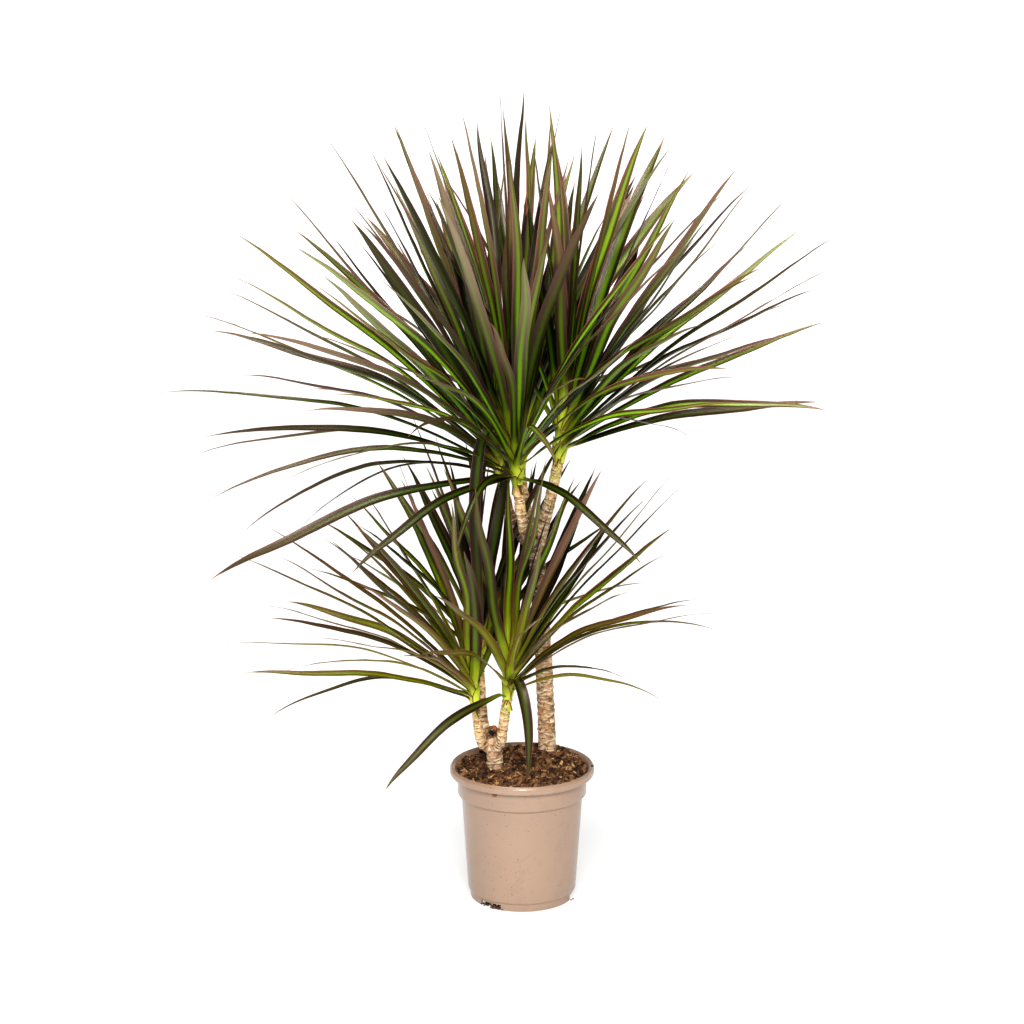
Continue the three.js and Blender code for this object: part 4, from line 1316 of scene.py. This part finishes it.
def bark_finish():
    tree = Finish("Bark")
    young, scar, above = tree.stored("young"), tree.stored("scar"), tree.stored("above")
    cut, spot = tree.stored("cut"), tree.stored("girth", "Vector")
    coarse = tree.noise(spot, 0.1, 4.0, 0.6)
    fine = tree.noise(spot, 0.75, 4.0, 0.65)
    tint = tree.noise(spot, 0.06, 2.0)
    slant = tree.noise(spot * (0.1, 0.1, 0.3), 1.0, 3.0, 0.6)
    away = scar + (fine - 0.5) * 1.8 + (coarse - 0.5) * 1.6
    line = away.step(2.8 - young * 1.5, 0.4) * slant.step(0.36, 0.56) * above.step(-1.0, -0.2)
    groove = away.step(2.4, 0.4) * above.step(0.2, -0.9)
    dots = tree.noise(spot, 0.34, 2.0).step(0.64, 0.7) + fine.step(0.6, 0.7) * 0.5
    old = tree.blend(coarse.step(0.4, 0.56), (116, 94, 70), (186, 150, 114))
    fresh = tree.blend(coarse.step(0.4, 0.6), (190, 142, 90), (232, 200, 148))
    fresh = tree.blend(tint.step(0.52, 0.66) * 0.7, fresh, (168, 172, 74))
    torn = tree.blend(fine.step(0.42, 0.56), (76, 48, 28), (198, 138, 82))
    colour = tree.paint(
        old, (slant.step(0.5, 0.6) * 0.75, (222, 200, 170)),
        (tint.step(0.52, 0.68) * 0.45, (190, 142, 94)), (young, fresh),
        (line * 0.8, (238, 222, 194)), (groove * (0.8 - young * 0.1), (98, 66, 42)),
        (dots.math("MINIMUM", 0.85), (76, 54, 38)),
        (cut.step(0.0, 0.4) * coarse.step(0.36, 0.52), torn),
        (tree.stored("hollow"), (34, 22, 14)))
    normal = tree.bump(fine * 0.7 + coarse + line * 0.8 - groove * 0.8, 0.0016, 0.6)
    return tree.surface(Base_Color=colour, Roughness=0.72 + fine * 0.2, Normal=normal)


def make_cane(name, node, strands, voxel, finish):
    """One skin over all strands, with the scars, the lumps and the torn cut end in relief."""
    points, faces = joined(tube(line.centres, line.radii, 28) for line in strands)
    obj = new_object(name, points, (), faces)
    remesh = obj.modifiers.new("One skin", "REMESH")
    remesh.mode, remesh.voxel_size = "VOXEL", voxel
    soft = obj.modifiers.new("Soft joins", "SMOOTH")
    soft.factor, soft.iterations = 0.5, 4
    mesh = baked(obj).data
    places = in_plan(rows_of(mesh.vertices, "co"))
    normals = rows_of(mesh.vertex_normals, "vector")
    owner, walked, left, radius, turn = nearest(places, strands)
    step, kind = np.array([(line.step, line.kind) for line in strands])[owner.astype(int)].T
    branch, stub = kind == BRANCH, kind == STUB

    angle = turn + 0.35 * cloud(places, 9, 4)
    off = scars(walked + 0.09 * step * cloud(places, 6, 6), angle, step)
    width = 0.14 * step
    swell = np.exp(-(off / width) ** 2) - 0.8 * np.exp(-(off / width + 1.6) ** 2)
    cut = stub * np.clip(1 - left / 20, 0, 1)
    lumps = 0.7 * cloud(places, 7, 5) + 0.3 * cloud(places, 3.2, 8)
    relief = np.where(branch, 0.3, 0.55) * swell + lumps + cut * 1.6 * cloud(places, 4, 2)
    hollow = stub * np.exp(-((left - 5.5) / 4) ** 2 - ((turn + math.pi / 2) / 0.75) ** 2)
    hollow = np.clip(hollow * (1 + 0.8 * cloud(places, 2.6, 9)), 0, 1)
    ends = np.where(branch, smooth(left / 6), 1)
    moved = places + normals * (relief * ends - 3.4 * hollow)[:, None]
    mesh.vertices.foreach_set("co", in_frame(moved).astype(np.float32).ravel())
    stored = {
        "young": branch * smooth(1 - left / 80), "scar": np.abs(off),
        "above": np.clip(off / 1.5, -1, 1), "cut": cut, "hollow": smooth(hollow * 1.8),
        "girth": np.column_stack(
            [radius * np.cos(angle) + owner * 31, radius * np.sin(angle), walked]),
    }
    for key, values in stored.items():
        store(mesh, key, values)
    mesh.materials.append(finish)
    mesh.update()
    belongs(smoothed(obj), "bark", node)


def make_canes(settings):
    finish = bark_finish()
    groups = (
        ("bark_tall", "tall_cane", TALL_CANE, TALL_STUB, HEADS[:LOW_HEADS], 12.5),
        ("bark_short", "short_cane", SHORT_CANE, SHORT_STUB, HEADS[LOW_HEADS:], 8.0),
    )
    for name, node, cane, stub, heads, step in groups:
        strands = [strand(cane.points, cane.radii, step, CANE)]
        strands.append(strand(stub.points, stub.radii, step, STUB))
        for head in heads:
            line = [*head.branch, head.base]
            strands.append(strand(line, head.branch_radii, settings.ring_step / MM, BRANCH))
        make_cane(name, node, strands, settings.voxel, finish)


# ------------------------------------------------------------------ the stage


def light(name, kind, energy, place, towards, size=None):
    data = bpy.data.lights.new(name, kind)
    data.energy = energy
    if size:
        data.shape, data.size, data.size_y = "RECTANGLE", *size
    obj = shown(name, data)
    obj.location = place
    obj.rotation_euler = (Vector(towards) - Vector(place)).to_track_quat("-Z", "Y").to_euler()


CAMERA = Plan(place=(0.02015, -3.527, 1.3628), down=14.33, sensor=36, lens=110)


def make_stage(settings):
    tree = Finish("Paper")
    place = tree.place()
    grain = tree.noise(place, 3.0, 2.0)
    tone = tree.blend(grain, (177, 177, 177), (184, 184, 184))
    away = place.length().step(1.2, 4.5)
    glow = tree.blend(away, (197, 197, 197), (255, 255, 255))
    paper = tree.surface(
        Base_Color=tone, Roughness=0.7, Emission_Color=glow, Emission_Strength=settings.glow)
    mesh = bpy.data.meshes.new("floor")
    mesh.from_pydata([(-60, -60, 0), (60, -60, 0), (60, 60, 0), (-60, 60, 0)], [], [(0, 1, 2, 3)])
    mesh.materials.append(paper)
    floor = shown("floor", mesh)

    world = bpy.data.worlds.new("Studio")
    world.use_nodes = True
    sky = Tree(world.node_tree)
    towards = sky.add("ShaderNodeTexCoord", out="Generated")
    horizon = abs(sky.part(towards, "Z")).step(0.24, 0.1)
    strength = settings.air + horizon * (1.0 - settings.air)
    air = sky.add("ShaderNodeBackground", {"Color": (1, 1, 1), "Strength": strength})
    sky.add("ShaderNodeOutputWorld", {"Surface": air})
    bpy.context.scene.world = world
    aim = (0, 0, 0.45)
    light("Key", "AREA", settings.key, (0.15, -3.3, 2.3), aim, (1.3, 1.1))
    light("Top", "AREA", settings.key * 0.62, (-0.3, -0.4, 3.0), aim, (1.2, 1.2))

    camera = bpy.data.cameras.new("Camera")
    camera.sensor_width, camera.lens = CAMERA.sensor, CAMERA.lens
    view = shown("Camera", camera)
    view.location = CAMERA.place
    view.rotation_euler = (math.radians(90 - CAMERA.down), 0, 0)
    bpy.context.scene.camera = view
    colours = bpy.context.scene.view_settings
    colours.view_transform, colours.look = "Standard", "High Contrast"


# ------------------------------------------------------------------ the add-on


def distance(name, description, default):
    return FloatProperty(
        name=name, description=description, default=default, subtype="DISTANCE", unit="LENGTH")


class PotSettings(bpy.types.PropertyGroup):
    sides: IntProperty(name="Sides", description="Faces round the pot", default=192, min=48)
    rounding: distance("Rounding", "Reach of each corner's arc", 0.9 * MM)


class PeatSettings(bpy.types.PropertyGroup):
    density: FloatProperty(
        name="Density", description="How thickly crumbs and chips are strewn, 1 as in the photo",
        default=1.0, min=0.0)
    seed: IntProperty(name="Seed", description="Moves every crumb", default=0)


class CaneSettings(bpy.types.PropertyGroup):
    voxel: distance("Voxel", "Size of the faces of the bark", 0.9 * MM)
    ring_step: distance("Ring step", "Distance between a branch's leaf scars", 4.4 * MM)


class LeafSettings(bpy.types.PropertyGroup):
    scales: IntProperty(
        name="Scales", description="Old leaf bases at the foot of each stem", default=9, min=0)
    sides: IntProperty(name="Sides", description="Faces round a blade", default=16, min=8)
    thickness: distance("Thickness", "Half a blade's thickness at its base", 0.32 * MM)
    ripple: distance("Ripple", "How far a blade's edges wave", 2.2 * MM)


class StageSettings(bpy.types.PropertyGroup):
    glow: FloatProperty(name="Glow", description="Light that the far floor gives off", default=0.75)
    air: FloatProperty(name="Air", description="Light from all round", default=0.25)
    key: FloatProperty(name="Key", description="Power of the key light, watts", default=111.0)


class PLANT_OT_pot(bpy.types.Operator):
    """Makes the grower's pot"""

    bl_idname = "plant.pot"
    bl_label = "Pot"

    def execute(self, context):
        make_pot(context.scene.plant_pot)
        return {"FINISHED"}


class PLANT_OT_peat(bpy.types.Operator):
    """Makes the peat and the crumbs on it"""

    bl_idname = "plant.peat"
    bl_label = "Peat"

    def execute(self, context):
        make_peat(context.scene.plant_peat)
        return {"FINISHED"}


class PLANT_OT_canes(bpy.types.Operator):
    """Makes both canes with their branches"""

    bl_idname = "plant.canes"
    bl_label = "Canes"

    def execute(self, context):
        make_canes(context.scene.plant_canes)
        return {"FINISHED"}


class PLANT_OT_leaves(bpy.types.Operator):
    """Makes the seven heads of leaves"""

    bl_idname = "plant.leaves"
    bl_label = "Leaves"

    def execute(self, context):
        make_leaves(context.scene.plant_leaves)
        return {"FINISHED"}


class PLANT_OT_stage(bpy.types.Operator):
    """Makes the floor, the lights and the camera"""

    bl_idname = "plant.stage"
    bl_label = "Stage"

    def execute(self, context):
        make_stage(context.scene.plant_stage)
        return {"FINISHED"}


class PLANT_PT_panel(bpy.types.Panel):
    """Lists what can be made"""

    bl_label = "Plant"
    bl_idname = "PLANT_PT_panel"
    bl_space_type = "VIEW_3D"
    bl_region_type = "UI"
    bl_category = "Plant"

    def draw(self, context):
        for operator in OPERATORS:
            self.layout.operator(operator.bl_idname)


SETTINGS = {
    "plant_pot": PotSettings, "plant_peat": PeatSettings, "plant_canes": CaneSettings,
    "plant_leaves": LeafSettings, "plant_stage": StageSettings,
}
OPERATORS = (PLANT_OT_pot, PLANT_OT_peat, PLANT_OT_canes, PLANT_OT_leaves, PLANT_OT_stage)


def register():
    for kind in (*SETTINGS.values(), *OPERATORS, PLANT_PT_panel):
        bpy.utils.register_class(kind)
    for name, kind in SETTINGS.items():
        setattr(bpy.types.Scene, name, PointerProperty(type=kind))


def unregister():
    for name in SETTINGS:
        delattr(bpy.types.Scene, name)
    for kind in (PLANT_PT_panel, *reversed(OPERATORS), *reversed(SETTINGS.values())):
        bpy.utils.unregister_class(kind)


def main():
    register()
    bpy.ops.plant.pot()
    bpy.ops.plant.peat()
    bpy.ops.plant.canes()
    bpy.ops.plant.leaves()
    bpy.ops.plant.stage()


if __name__ == "__main__":
    main()
